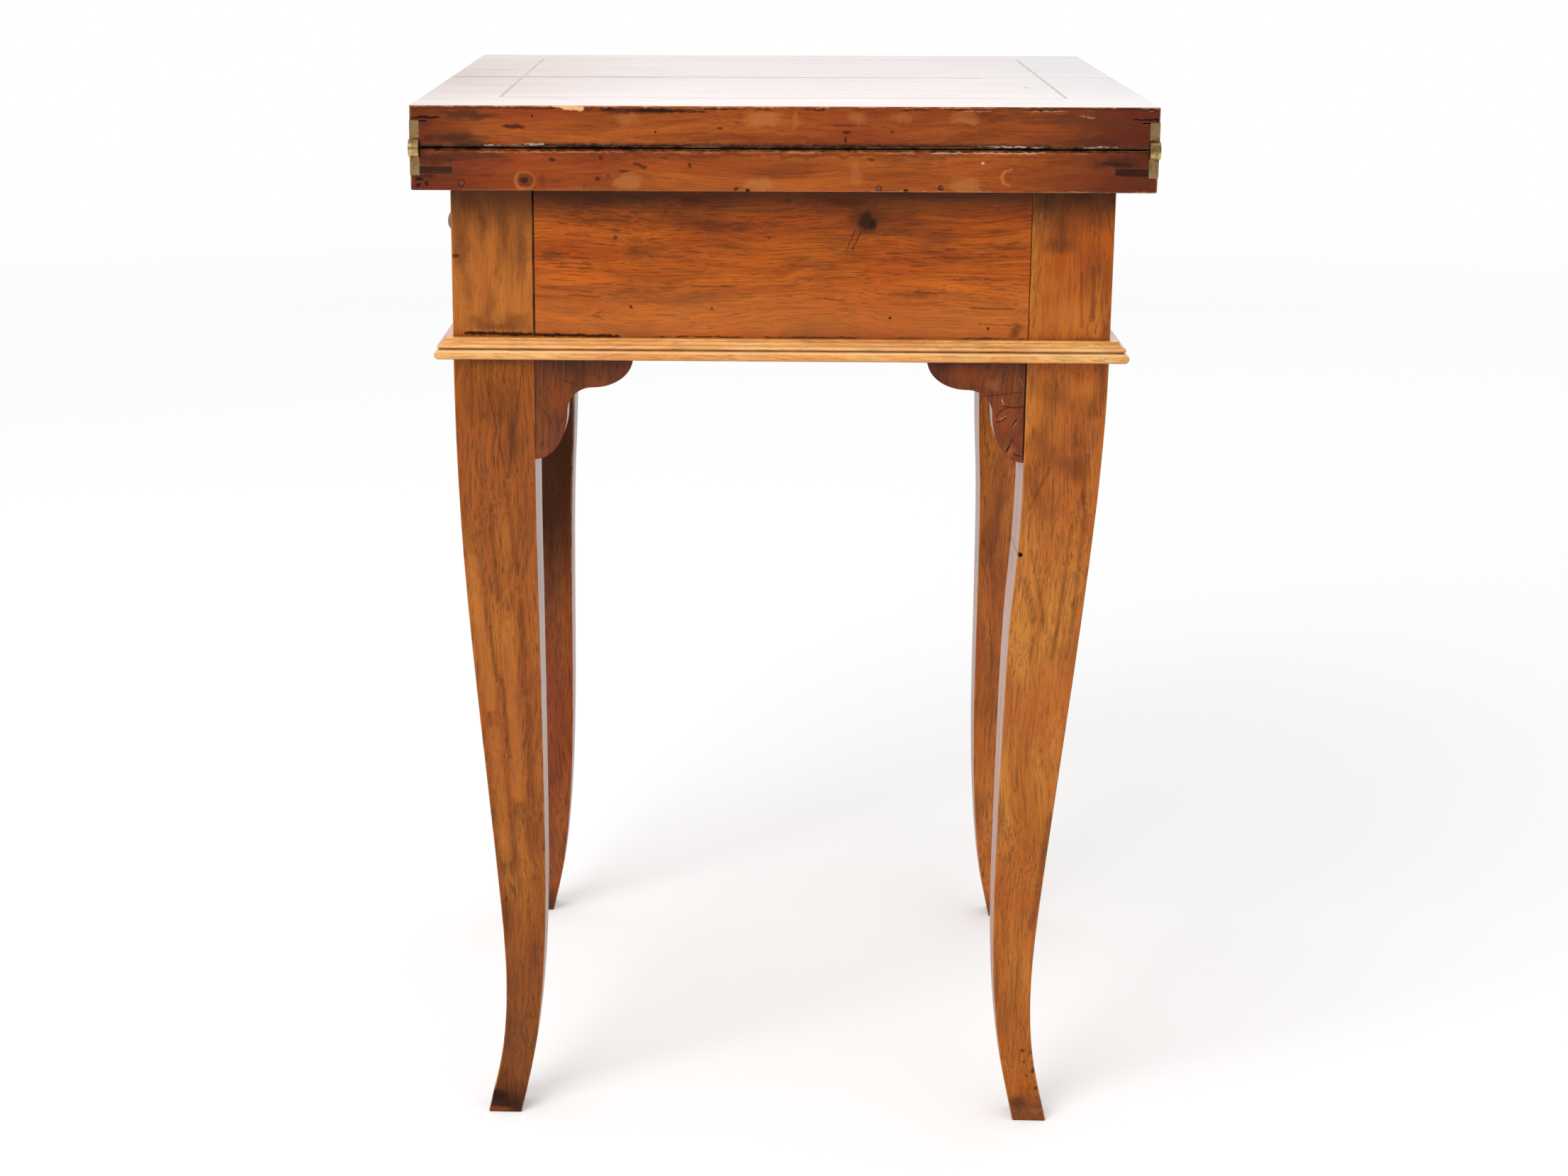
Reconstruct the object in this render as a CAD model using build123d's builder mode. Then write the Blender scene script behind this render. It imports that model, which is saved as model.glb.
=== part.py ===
from build123d import *
import os
from math import cos, radians, sin

os.makedirs("parts", exist_ok=True)

# A fold-over side table in millimetres, +Z up. The origin is on the floor under the
# centre of the square frame, the front is -Y and the drawer is on the left, -X.
# Two square leaves are hinged along the front edge. The closed top turns a quarter turn
# on its pivot, then the upper leaf folds over onto the other half of the frame.

# Whole table
top_side = 500.0
table_height = 750.0
top_overhang = 24.0  # leaf edge to the face of the frame
glue_fit = 0.1  # clearance of tenons, tongues and inlays in their seats

# Leaves
leaf_thickness = 28.1
leaf_gap = 0.4  # between the closed leaves
leaf_edge_gap = 0.6  # between the edges of the open leaves
leaf_corner_radius = 2.5
leaf_arris_radius = 1.0
leaf_worn_radius = 3.0  # lower front arris of the upper leaf
board_joint_offset = 4.0  # the joint of the two boards lies behind the centre line
string_width = 2.0
string_depth = 1.2
string_side_inset = 54.0
string_front_inset = 68.0
string_back_inset = 50.0
key_length = 22.0
key_height = 5.0
key_depth = 12.0
key_drop = 14.5  # top of the lower leaf to the middle of the key

# Frame
rail_height = 117.6
turning_gap = 0.3  # between the frame and the lower leaf
post_side = 56.0
apron_thickness = 20.0
tenon_length = 30.0
tenon_thickness = 8.0
tenon_shoulder = 14.0  # above and below the apron tenons
flat_rail_width = 40.0
flat_rail_thickness = 14.7
flat_tenon_width = 18.0

# Legs: inset of each face from the frame's face, as shares of the post, against the
# height as shares of the leg. The same outline is used for both directions.
leg_outer_shares = (
    (1, 0),
    (0.76, 0.095),
    (0.54, 0.273),
    (0.30, 0.484),
    (0.16, 0.554),
    (0.066, 0.473),
    (0, 0.318),
)
leg_inner_shares = ((0, 0.761), (0.066, 0.907), (0.18, 1.048), (0.42, 1.091), (0.70, 1.046))
leg_arris_radius = 1.2
foot_radius = 0.8

# The hand-cut legs differ: how far each foot stands outside that outline, as shares of the
# post, to the left or right and then to the front or back
leg_leans = {
    "front_left": (0.0625, 0.125),
    "front_right": (-0.0625, 0.125),
    "back_right": (0.20, 0.16),
    "back_left": (0.18, 0.16),
}

# Moulding round the foot of the frame, from the bottom up
torus_radius = 3.5
quirk_height = 0.7
bead_radius = 1.5
cove_radius = 3.0
moulding_top_fillet = 1.0
moulding_top_projection = 5.5

# Scroll brackets
bracket_width = 68.5
bracket_drop = 72.0
bracket_thickness = 20.0
bracket_setback = 2.0
bracket_run_shares = (0.59, 0.331)  # from the leg to each step of the scroll
bracket_drop_shares = (0.29, 0.526)  # below the frame to each step of the scroll

# Card-table hinges
plate_height = 18.0
plate_length = 42.0
plate_thickness = 6.4
plate_corner_radius = 2.0
knuckle_radius = 6.0
knuckle_gap = 0.15  # between the two discs of a hinge
inner_knuckle_width = 3.7
knuckle_stand = 0.4  # outer disc proud of the leaf's end
knuckle_clearance = 0.4  # round the discs in the leaves and the other plate
pin_radius = 1.6
pin_fit = 0.03
kerf_length = 12.0
kerf_height = 0.9

# Screws: radius of the head, radius of the shank, length
screw_fit = 0.05
screw_point_share = 0.75
hinge_screw_head = 3.4
hinge_screw_shank = 1.8
hinge_screw_length = 20.0
hinge_screw_run_shares = (0.34, 0.8)  # along the plate
pivot_screw_head = 3.4
pivot_screw_shank = 1.8
pivot_screw_length = 18.0
pivot_screw_count = 4

# Pivot
pivot_rail_width = 86.0
pivot_rail_thickness = 20.0
pivot_rail_post_gap = 0.5  # where a small table's posts notch the rail
pivot_tongue_length = 8.0
pivot_tongue_thickness = 8.0
flange_radius = 26.0
flange_thickness = 4.0
bolt_radius = 7.0
bolt_end_length = 3.0  # below the nut
running_fit = 0.1  # radial clearance of the bolt in its rail
washer_radius = 17.0
washer_thickness = 2.0
nut_across = 22.0
nut_height = 9.0
peg_orbit = 32.0  # pivot to stop peg
peg_radius = 4.5
peg_seat = 12.0  # length of the peg in the leaf
peg_clearance = 0.4
peg_rest_angle = 135.0
swivel_angle = 90.0

# Drawer
drawer_depth = 285.0
drawer_gap = 0.6  # round the drawer front
drawer_side_gap = 0.8
slide_gap = 0.3  # between the drawer sides and the runners
drawer_front_thickness = 20.0
drawer_side_thickness = 9.0
drawer_side_height = 64.0
drawer_bottom_thickness = 5.0
drawer_bottom_lift = 8.0  # underside of the sides to the bottom's groove
groove_depth = 4.0
tail_count = 3
tail_length = 12.0
tail_width_share = 0.72  # of the pitch at the wide end
tail_angle = 80.0
runner_width = 14.0
guide_height = 50.0
kicker_reach = 14.0
knob_radius = 11.0
knob_neck_radius = 5.5
knob_base_radius = 8.5
knob_base_thickness = 3.0
knob_projection = 28.0
knob_dome_height = 8.0
knob_rim_height = 4.0
knob_flare_radius = 12.0
knob_screw_radius = 2.2
knob_screw_head = 4.5
knob_screw_head_thickness = 2.4
knob_screw_engagement = 14.0

# Levels and positions that follow
frame_half = top_side / 2 - top_overhang
post_inner = frame_half - post_side
leaf_bottom = table_height - 2 * leaf_thickness - leaf_gap
leaf_joint = leaf_bottom + leaf_thickness
upper_leaf_bottom = leaf_joint + leaf_gap
frame_top = leaf_bottom - turning_gap
frame_bottom = frame_top - rail_height
drawer_floor = frame_bottom + flat_rail_thickness
hinge_y = -(top_side + leaf_edge_gap) / 2
hinge_z = leaf_joint + leaf_gap / 2
pivot_x = -hinge_y / 2
pivot_y = hinge_y / 2
apron_inner = frame_half - apron_thickness
overrun = post_side  # how far cutting solids run past what they cut


def facing_front(x, y, z):
    # A plane seen from the front: its own x runs right and its own y runs up.
    return Plane((x, y, z), x_dir=(1, 0, 0), z_dir=(0, -1, 0))


def facing_right(x, y, z):
    # A plane seen from the right: its own x runs back and its own y runs up.
    return Plane((x, y, z), x_dir=(0, 1, 0), z_dir=(1, 0, 0))


def write(piece, name):
    piece.part.label = name
    export_step(piece.part, f"parts/{name}.step")


def tenon_pair(width, height, inset, level, fit=0.0):
    # Two tenons of a front rail, grown by fit where they cut their mortises.
    reach = post_inner + tenon_length / 2
    with BuildPart() as pair:
        with Locations((-reach, inset - frame_half, level), (reach, inset - frame_half, level)):
            Box(tenon_length + 2 * fit, width + 2 * fit, height + 2 * fit)
    return pair.part


def apron_tenons(fit=0.0):
    height = rail_height - 2 * tenon_shoulder
    return tenon_pair(tenon_thickness, height, apron_thickness / 2, frame_bottom + rail_height / 2, fit)


def bottom_rail_tenons(fit=0.0):
    level = frame_bottom + flat_rail_thickness / 2
    return tenon_pair(flat_tenon_width, tenon_thickness, flat_rail_width / 2, level, fit)


def top_rail_tenons(fit=0.0):
    level = frame_top - flat_rail_thickness / 2
    inset = drawer_front_thickness + drawer_gap + flat_tenon_width / 2 + tenon_thickness / 2
    return tenon_pair(flat_tenon_width, tenon_thickness, inset, level, fit)


def pivot_tongues(fit=0.0):
    # Tongues at both ends of the pivot rail, let into the front and back aprons.
    level = frame_top - pivot_rail_thickness / 2
    reach = apron_inner + pivot_tongue_length / 2
    with BuildPart() as tongues:
        with Locations((pivot_x, -reach, level), (pivot_x, reach, level)):
            Box(
                pivot_rail_width + 2 * fit,
                pivot_tongue_length + 2 * fit,
                pivot_tongue_thickness + 2 * fit,
            )
    return tongues.part


def screw(head_radius, shank_radius, length, fit=0.0):
    # A countersunk screw that points down, with the face of its head at the origin.
    head_depth = head_radius - shank_radius
    with BuildPart() as body:
        with BuildSketch(Plane.XZ):
            with BuildLine():
                Polyline(
                    (0, 0),
                    (head_radius + fit, 0),
                    (shank_radius + fit, -head_depth),
                    (shank_radius + fit, -length * screw_point_share),
                    (0, -length - fit),
                    close=True,
                )
            make_face()
        revolve(axis=Axis.Z)
    return body.part


# Legs
def leg_points(shares, lean):
    # The lean starts at the foot of the frame and grows towards the floor.
    return [
        ((inset - lean * (1 - share**2)) * post_side, share * frame_bottom)
        for share, inset in shares
    ]


def direction(start, end):
    return end[0] - start[0], end[1] - start[1]


def leg_side(lean):
    # Side view of a leg, measured inwards from the face of the frame and up from the floor.
    outer_points = leg_points(leg_outer_shares, lean)
    inner_points = leg_points(leg_inner_shares, lean)
    straight_end = (post_side, frame_bottom - bracket_drop)
    toe_tangent = direction(outer_points[-2], outer_points[-1])
    heel_tangent = direction(inner_points[0], inner_points[1])
    with BuildSketch() as side:
        with BuildLine():
            Line((0, frame_top), outer_points[0])
            Spline(*outer_points, tangents=[(0, -1), toe_tangent])
            Line(outer_points[-1], inner_points[0])
            Spline(*inner_points, straight_end, tangents=[heel_tangent, (0, 1)])
            Polyline(straight_end, (post_side, frame_top), (0, frame_top))
        make_face()
    return side.sketch


def leg_form(first_lean, second_lean):
    # A front left leg with one lean to the left and another to the front.
    with BuildPart() as form:
        with BuildSketch(facing_front(-frame_half, -frame_half, 0)):
            add(leg_side(first_lean))
        extrude(amount=-(post_side + overrun))
        with BuildSketch(facing_right(-frame_half, -frame_half, 0)):
            add(leg_side(second_lean))
        extrude(amount=post_side + overrun, mode=Mode.INTERSECT)
        curved_arrises = form.edges().filter_by(GeomType.LINE, reverse=True)
        outer_arris = form.edges().filter_by(Axis.Z).group_by(Axis.X)[0].group_by(Axis.Y)[0]
        fillet(curved_arrises + outer_arris, leg_arris_radius)
        foot_edges = form.edges().group_by(Axis.Z)[0]
        fillet(foot_edges, foot_radius)
    return form.part


with BuildPart() as mortises:
    for turn in (0, 90, 180):
        add(apron_tenons(glue_fit), rotation=(0, 0, turn))
    add(bottom_rail_tenons(glue_fit), rotation=(0, 0, -90))
    add(top_rail_tenons(glue_fit), rotation=(0, 0, -90))

leg_turns = {"front_left": 0, "front_right": 90, "back_right": 180, "back_left": 270}
for corner, turn in leg_turns.items():
    sideways, forwards = leg_leans[corner]
    turned_once = turn % 180 > 0
    leans = (forwards, sideways) if turned_once else (sideways, forwards)
    with BuildPart() as leg:
        add(leg_form(*leans), rotation=(0, 0, turn))
        add(mortises.part, mode=Mode.SUBTRACT)
    write(leg, "leg_" + corner)

# Aprons and the two rails of the drawer side
for side, turn in {"front": 0, "right": 90, "back": 180}.items():
    with BuildPart() as apron:
        with BuildSketch(Plane.XY.offset(frame_bottom)):
            with Locations((0, apron_thickness / 2 - frame_half)):
                Rectangle(2 * post_inner, apron_thickness)
        extrude(amount=rail_height)
        add(apron_tenons())
    with BuildPart() as placed_apron:
        add(apron.part, rotation=(0, 0, turn))
        add(pivot_tongues(glue_fit), mode=Mode.SUBTRACT)
    write(placed_apron, "apron_" + side)

with BuildPart() as bottom_rail:
    with BuildSketch(Plane.XY.offset(frame_bottom)):
        with Locations((0, flat_rail_width / 2 - frame_half)):
            Rectangle(2 * post_inner, flat_rail_width)
    extrude(amount=flat_rail_thickness)
    add(bottom_rail_tenons())

with BuildPart() as top_rail:
    with BuildSketch(Plane.XY.offset(frame_top - flat_rail_thickness)):
        with Locations((0, drawer_front_thickness + drawer_gap + flat_rail_width / 2 - frame_half)):
            Rectangle(2 * post_inner, flat_rail_width)
    extrude(amount=flat_rail_thickness)
    add(top_rail_tenons())

for rail, name in ((bottom_rail, "drawer_rail_bottom"), (top_rail, "drawer_rail_top")):
    with BuildPart() as placed_rail:
        add(rail.part, rotation=(0, 0, -90))
    write(placed_rail, name)

# Moulding, cut to mitres at the corners of the frame
bead_base = 2 * torus_radius + quirk_height
cove_base = bead_base + 2 * bead_radius
moulding_height = cove_base + cove_radius + moulding_top_fillet
cove_root = moulding_top_projection + cove_radius
mitre_left = Plane((-frame_half, -frame_half, 0), z_dir=(1, -1, 0))
mitre_right = Plane((frame_half, -frame_half, 0), z_dir=(-1, -1, 0))

with BuildPart() as moulding:
    run = frame_half + overrun
    with BuildSketch(Plane((run, -frame_half, frame_bottom), x_dir=(0, -1, 0), z_dir=(-1, 0, 0))):
        with BuildLine():
            Line((0, 0), (cove_root, 0))
            CenterArc((cove_root, torus_radius), torus_radius, -90, 180)
            Line((cove_root, 2 * torus_radius), (cove_root, bead_base))
            CenterArc((cove_root, bead_base + bead_radius), bead_radius, -90, 180)
            CenterArc((cove_root, cove_base + cove_radius), cove_radius, 180, 90)
            Polyline(
                (moulding_top_projection, cove_base + cove_radius),
                (moulding_top_projection, moulding_height),
                (0, moulding_height),
                (0, 0),
            )
        make_face()
    extrude(amount=2 * run)
    split(bisect_by=mitre_left, keep=Keep.TOP)
    split(bisect_by=mitre_right, keep=Keep.TOP)

for side, turn in {"front": 0, "right": 90, "back": 180, "left": 270}.items():
    with BuildPart() as placed_moulding:
        add(moulding.part, rotation=(0, 0, turn))
    write(placed_moulding, "moulding_" + side)

# Scroll brackets: a lobe, a hollow and a second lobe, each a quarter of an ellipse
with BuildPart() as bracket:
    with BuildSketch(facing_front(-post_inner, bracket_setback - frame_half, frame_bottom)):
        first_run, second_run = [share * bracket_width for share in bracket_run_shares]
        first_drop, second_drop = [share * bracket_drop for share in bracket_drop_shares]
        with BuildLine():
            Line((0, 0), (bracket_width, 0))
            lobe_drop = second_drop - first_drop
            tip_run = bracket_width - first_run
            tip_drop = bracket_drop - second_drop
            EllipticalCenterArc((first_run, 0), tip_run, first_drop, 270, arc_size=90)
            hollow_run = first_run - second_run
            EllipticalCenterArc((first_run, -second_drop), hollow_run, lobe_drop, 90, arc_size=90)
            EllipticalCenterArc((0, -second_drop), second_run, tip_drop, 270, arc_size=90)
            Line((0, -bracket_drop), (0, 0))
        make_face()
    extrude(amount=-bracket_thickness)

for side, turn in {"front": 0, "right": 90, "back": 180, "left": 270}.items():
    with BuildPart() as first_bracket:
        add(bracket.part, rotation=(0, 0, turn))
    write(first_bracket, "bracket_" + side + "_first")
    with BuildPart() as second_bracket:
        add(mirror(bracket.part, about=Plane.YZ, mode=Mode.PRIVATE), rotation=(0, 0, turn))
    write(second_bracket, "bracket_" + side + "_second")

# Runners, guides and kickers of the drawer, front and back
runner_length = apron_inner + frame_half - flat_rail_width
top_rail_back = drawer_front_thickness + drawer_gap + flat_rail_width - frame_half
kicker_length = pivot_x - pivot_rail_width / 2 - top_rail_back
kicker_width = apron_inner - post_inner + kicker_reach
for name, facing in (("front", -1), ("back", 1)):
    with BuildPart() as runner:
        with BuildSketch(Plane.XY.offset(frame_bottom)):
            with Locations((apron_inner - runner_length / 2, facing * (post_inner - runner_width / 2))):
                Rectangle(runner_length, runner_width)
        extrude(amount=flat_rail_thickness)
    write(runner, "drawer_runner_" + name)
    with BuildPart() as guide:
        with BuildSketch(Plane.XY.offset(frame_bottom)):
            with Locations((0, facing * (post_inner + apron_inner) / 2)):
                Rectangle(2 * post_inner, apron_inner - post_inner)
        extrude(amount=guide_height)
    write(guide, "drawer_guide_" + name)
    with BuildPart() as kicker:
        with BuildSketch(Plane.XY.offset(frame_top - flat_rail_thickness)):
            with Locations((top_rail_back + kicker_length / 2, facing * (apron_inner - kicker_width / 2))):
                Rectangle(kicker_length, kicker_width)
        extrude(amount=flat_rail_thickness)
    write(kicker, "drawer_kicker_" + name)

# Pivot rail under the lower leaf, with the quarter-circle slot of the stop peg
with BuildPart() as pivot_rail:
    with BuildSketch(Plane.XY.offset(frame_top - pivot_rail_thickness)):
        with Locations((pivot_x, 0)):
            Rectangle(pivot_rail_width, 2 * apron_inner)
        with Locations((pivot_x, pivot_y)):
            Circle(bolt_radius + running_fit, mode=Mode.SUBTRACT)
            slot_start = peg_rest_angle - swivel_angle
            peg_path = CenterArc((0, 0), peg_orbit, slot_start, swivel_angle, mode=Mode.PRIVATE)
            SlotArc(peg_path, 2 * (peg_radius + peg_clearance), mode=Mode.SUBTRACT)
    extrude(amount=pivot_rail_thickness)
    add(pivot_tongues())
    notch_side = post_side + 2 * pivot_rail_post_gap
    post_middle = frame_half - post_side / 2
    with BuildSketch(Plane.XY.offset(frame_top - pivot_rail_thickness)):
        with Locations((post_middle, -post_middle), (post_middle, post_middle)):
            Rectangle(notch_side, notch_side)
    extrude(amount=pivot_rail_thickness, mode=Mode.SUBTRACT)
write(pivot_rail, "pivot_rail")

# The bolt has a round flange let into the lower leaf; it turns in the rail
nut_top = frame_top - pivot_rail_thickness - slide_gap - washer_thickness
bolt_end = nut_top - nut_height - bolt_end_length
pivot_screw_orbit = (flange_radius + bolt_radius) / 2
pivot_screw_form = screw(pivot_screw_head, pivot_screw_shank, pivot_screw_length)
pivot_screw_hole = screw(pivot_screw_head, pivot_screw_shank, pivot_screw_length, screw_fit)

with BuildPart() as pivot_bolt:
    with BuildSketch(Plane.XY.offset(leaf_bottom)):
        with Locations((pivot_x, pivot_y)):
            Circle(flange_radius)
    extrude(amount=flange_thickness)
    with BuildSketch(Plane.XY.offset(bolt_end)):
        with Locations((pivot_x, pivot_y)):
            Circle(bolt_radius)
    extrude(amount=leaf_bottom - bolt_end)
    chamfer(pivot_bolt.edges().group_by(Axis.Z)[0], bolt_end_length / 2)
    with Locations(Location((pivot_x, pivot_y, leaf_bottom), (180, 0, 0))):
        with PolarLocations(pivot_screw_orbit, pivot_screw_count):
            add(pivot_screw_hole, mode=Mode.SUBTRACT)
write(pivot_bolt, "pivot_bolt")

with BuildPart() as pivot_screws:
    with Locations(Location((pivot_x, pivot_y, leaf_bottom), (180, 0, 0))):
        with PolarLocations(pivot_screw_orbit, pivot_screw_count):
            add(pivot_screw_form)
write(pivot_screws, "pivot_screws")

with BuildPart() as washer:
    with BuildSketch(Plane.XY.offset(nut_top)):
        with Locations((pivot_x, pivot_y)):
            Circle(washer_radius)
            Circle(bolt_radius + running_fit, mode=Mode.SUBTRACT)
    extrude(amount=washer_thickness)
write(washer, "pivot_washer")

with BuildPart() as nut:
    with BuildSketch(Plane.XY.offset(nut_top - nut_height)):
        with Locations((pivot_x, pivot_y)):
            RegularPolygon(nut_across / 2, 6, major_radius=False)
            Circle(bolt_radius + pin_fit, mode=Mode.SUBTRACT)
    extrude(amount=nut_height)
write(nut, "pivot_nut")

peg_x = pivot_x + peg_orbit * cos(radians(peg_rest_angle))
peg_y = pivot_y + peg_orbit * sin(radians(peg_rest_angle))
peg_bottom = frame_top - pivot_rail_thickness
with BuildPart() as stop_peg:
    with BuildSketch(Plane.XY.offset(peg_bottom)):
        with Locations((peg_x, peg_y)):
            Circle(peg_radius)
    extrude(amount=leaf_bottom + peg_seat - peg_bottom)
    chamfer(stop_peg.edges().group_by(Axis.Z)[0], peg_radius / 4)
write(stop_peg, "stop_peg")

# Hinges
plate_inner_x = top_side / 2 - plate_thickness
knuckle_split = plate_inner_x + inner_knuckle_width
outer_knuckle_x = knuckle_split + knuckle_gap
knuckle_end = top_side / 2 + knuckle_stand
upper_plate_base = upper_leaf_bottom
lower_plate_base = leaf_joint - plate_height
hinge_screw_form = screw(hinge_screw_head, hinge_screw_shank, hinge_screw_length)
hinge_screw_hole = screw(hinge_screw_head, hinge_screw_shank, hinge_screw_length, screw_fit)


def disc(start, end, radius):
    # A disc on the axis of the right hinge, between two places along the axis.
    with BuildPart() as form:
        with BuildSketch(facing_right(start, hinge_y, hinge_z)):
            Circle(radius)
        extrude(amount=end - start)
    return form.part


def screw_places(base):
    # Screws of a right hinge plate, driven in from the end of the leaf.
    level = base + plate_height / 2
    return [
        Location((top_side / 2, share * plate_length - top_side / 2, level), (0, 90, 0))
        for share in hinge_screw_run_shares
    ]


def hinge_plate(base, own_disc, other_disc):
    with BuildPart() as plate:
        with BuildSketch(facing_right(plate_inner_x, -top_side / 2, base)):
            Rectangle(plate_length, plate_height, align=(Align.MIN, Align.MIN))
        extrude(amount=plate_thickness)
        back_edges = plate.edges().filter_by(Axis.X).group_by(Axis.Y)[-1]
        fillet(back_edges, plate_corner_radius)
        add(disc(*other_disc, knuckle_radius + knuckle_clearance), mode=Mode.SUBTRACT)
        add(disc(*own_disc, knuckle_radius))
        add(disc(plate_inner_x, knuckle_end, pin_radius + pin_fit), mode=Mode.SUBTRACT)
        with Locations(*screw_places(base)):
            add(hinge_screw_hole, mode=Mode.SUBTRACT)
    return plate.part


inner_disc = (plate_inner_x, knuckle_split)
outer_disc = (outer_knuckle_x, knuckle_end)
inner_notch = (plate_inner_x - overrun, outer_knuckle_x)
outer_notch = (knuckle_split, knuckle_end + overrun)
upper_plate = hinge_plate(upper_plate_base, outer_disc, inner_notch)
lower_plate = hinge_plate(lower_plate_base, inner_disc, outer_notch)

for plate, name in ((upper_plate, "hinge_upper_plate"), (lower_plate, "hinge_lower_plate")):
    with BuildPart() as right_plate:
        add(plate)
    write(right_plate, name + "_right")
    with BuildPart() as left_plate:
        add(mirror(plate, about=Plane.YZ, mode=Mode.PRIVATE))
    write(left_plate, name + "_left")

with BuildPart() as hinge_pins:
    add(disc(plate_inner_x, knuckle_end, pin_radius))
    mirror(about=Plane.YZ)
write(hinge_pins, "hinge_pins")

for base, name in ((upper_plate_base, "hinge_upper_screws"), (lower_plate_base, "hinge_lower_screws")):
    with BuildPart() as hinge_screws:
        with Locations(*screw_places(base)):
            add(hinge_screw_form)
        mirror(about=Plane.YZ)
    write(hinge_screws, name)


# Leaves
def hinge_seats(base):
    # Pockets of both hinges in one leaf, with room for the discs to turn.
    with BuildPart() as seats:
        with BuildSketch(facing_right(plate_inner_x - glue_fit, -top_side / 2 - overrun, base - glue_fit)):
            Rectangle(
                overrun + plate_length + glue_fit,
                plate_height + 2 * glue_fit,
                align=(Align.MIN, Align.MIN),
            )
        extrude(amount=plate_thickness + overrun)
        room_start = plate_inner_x - knuckle_clearance
        add(disc(room_start, knuckle_end + overrun, knuckle_radius + knuckle_clearance))
        with Locations(*screw_places(base)):
            add(hinge_screw_hole)
        mirror(about=Plane.YZ)
    return seats.part


def leaf_blank(base):
    with BuildPart() as blank:
        with BuildSketch(Plane.XY.offset(base)):
            RectangleRounded(top_side, top_side, leaf_corner_radius)
        extrude(amount=leaf_thickness)
    return blank


board_joint = Plane((0, board_joint_offset, 0), z_dir=(0, 1, 0))
string_length = top_side - 2 * string_side_inset
string_depth_run = top_side - string_front_inset - string_back_inset
string_y = (string_front_inset - string_back_inset) / 2


def stringing(fit=0.0):
    with BuildPart() as inlay:
        with BuildSketch(Plane.XY.offset(table_height - string_depth - fit)):
            with Locations((0, string_y)):
                Rectangle(string_length + 2 * fit, string_depth_run + 2 * fit)
                Rectangle(
                    string_length - 2 * string_width - 2 * fit,
                    string_depth_run - 2 * string_width - 2 * fit,
                    mode=Mode.SUBTRACT,
                )
        extrude(amount=string_depth + fit)
    return inlay


def write_boards(leaf, name):
    for keep, place in ((Keep.BOTTOM, "front"), (Keep.TOP, "back")):
        with BuildPart() as board:
            add(leaf.part)
            split(bisect_by=board_joint, keep=keep)
        write(board, f"{name}_{place}_board")


with BuildPart() as upper_leaf:
    add(leaf_blank(upper_leaf_bottom).part)
    fillet(upper_leaf.edges().group_by(Axis.Z)[-1], leaf_arris_radius)
    worn_edge = upper_leaf.edges().group_by(Axis.Z)[0].group_by(Axis.Y)[0]
    fillet(worn_edge, leaf_worn_radius)
    add(hinge_seats(upper_plate_base), mode=Mode.SUBTRACT)
    add(stringing(glue_fit / 2).part, mode=Mode.SUBTRACT)
    with BuildSketch(Plane.XZ.offset(top_side / 2)):
        kerf_x = top_side / 2 - kerf_length / 2
        kerf_level = upper_plate_base + plate_height + glue_fit - kerf_height / 2
        with Locations((-kerf_x, kerf_level), (kerf_x, kerf_level)):
            Rectangle(kerf_length, kerf_height)
    extrude(amount=-plate_length, mode=Mode.SUBTRACT)
write_boards(upper_leaf, "upper_leaf")
write(stringing(), "top_stringing")

with BuildPart() as lower_leaf:
    add(leaf_blank(leaf_bottom).part)
    fillet(lower_leaf.edges().group_by(Axis.Z)[0], leaf_arris_radius)
    fillet(lower_leaf.edges().group_by(Axis.Z)[-1], leaf_arris_radius)
    add(hinge_seats(lower_plate_base), mode=Mode.SUBTRACT)
    with BuildSketch(Plane.XY.offset(leaf_bottom)):
        with Locations((pivot_x, pivot_y)):
            Circle(flange_radius + glue_fit)
    extrude(amount=flange_thickness + glue_fit, mode=Mode.SUBTRACT)
    with Locations(Location((pivot_x, pivot_y, leaf_bottom), (180, 0, 0))):
        with PolarLocations(pivot_screw_orbit, pivot_screw_count):
            add(pivot_screw_hole, mode=Mode.SUBTRACT)
    with BuildSketch(Plane.XY.offset(leaf_bottom)):
        with Locations((peg_x, peg_y)):
            Circle(peg_radius + glue_fit)
    extrude(amount=peg_seat + glue_fit, mode=Mode.SUBTRACT)
    key_x = plate_inner_x - glue_fit - key_length / 2
    with BuildSketch(Plane.XZ.offset(top_side / 2)):
        with Locations((-key_x, leaf_joint - key_drop), (key_x, leaf_joint - key_drop)):
            Rectangle(key_length, key_height)
    extrude(amount=-key_depth, mode=Mode.SUBTRACT)
write_boards(lower_leaf, "lower_leaf")

with BuildPart() as edge_keys:
    with BuildSketch(Plane.XZ.offset(top_side / 2)):
        with Locations((-key_x, leaf_joint - key_drop), (key_x, leaf_joint - key_drop)):
            Rectangle(key_length, key_height)
    extrude(amount=-key_depth)
write(edge_keys, "edge_keys")

# Drawer
front_face = -frame_half
front_inner = front_face + drawer_front_thickness
drawer_back = front_face + drawer_depth
drawer_half = post_inner - drawer_side_gap
side_bottom = drawer_floor + slide_gap
side_top = side_bottom + drawer_side_height
groove_level = side_bottom + drawer_bottom_lift
drawer_front_bottom = drawer_floor + drawer_gap
drawer_front_height = frame_top - drawer_gap - drawer_front_bottom
inner_half = drawer_half - drawer_side_thickness
tail_pitch = drawer_side_height / tail_count


tail_levels = [(-tail_length / 2, (index + 1 / 2) * tail_pitch) for index in range(tail_count)]
tail_plane = facing_front(front_inner, -drawer_half, side_bottom)
shallow = groove_depth - glue_fit
drawer_middle = (front_inner + drawer_back) / 2
side_length = drawer_back - front_inner


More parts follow.
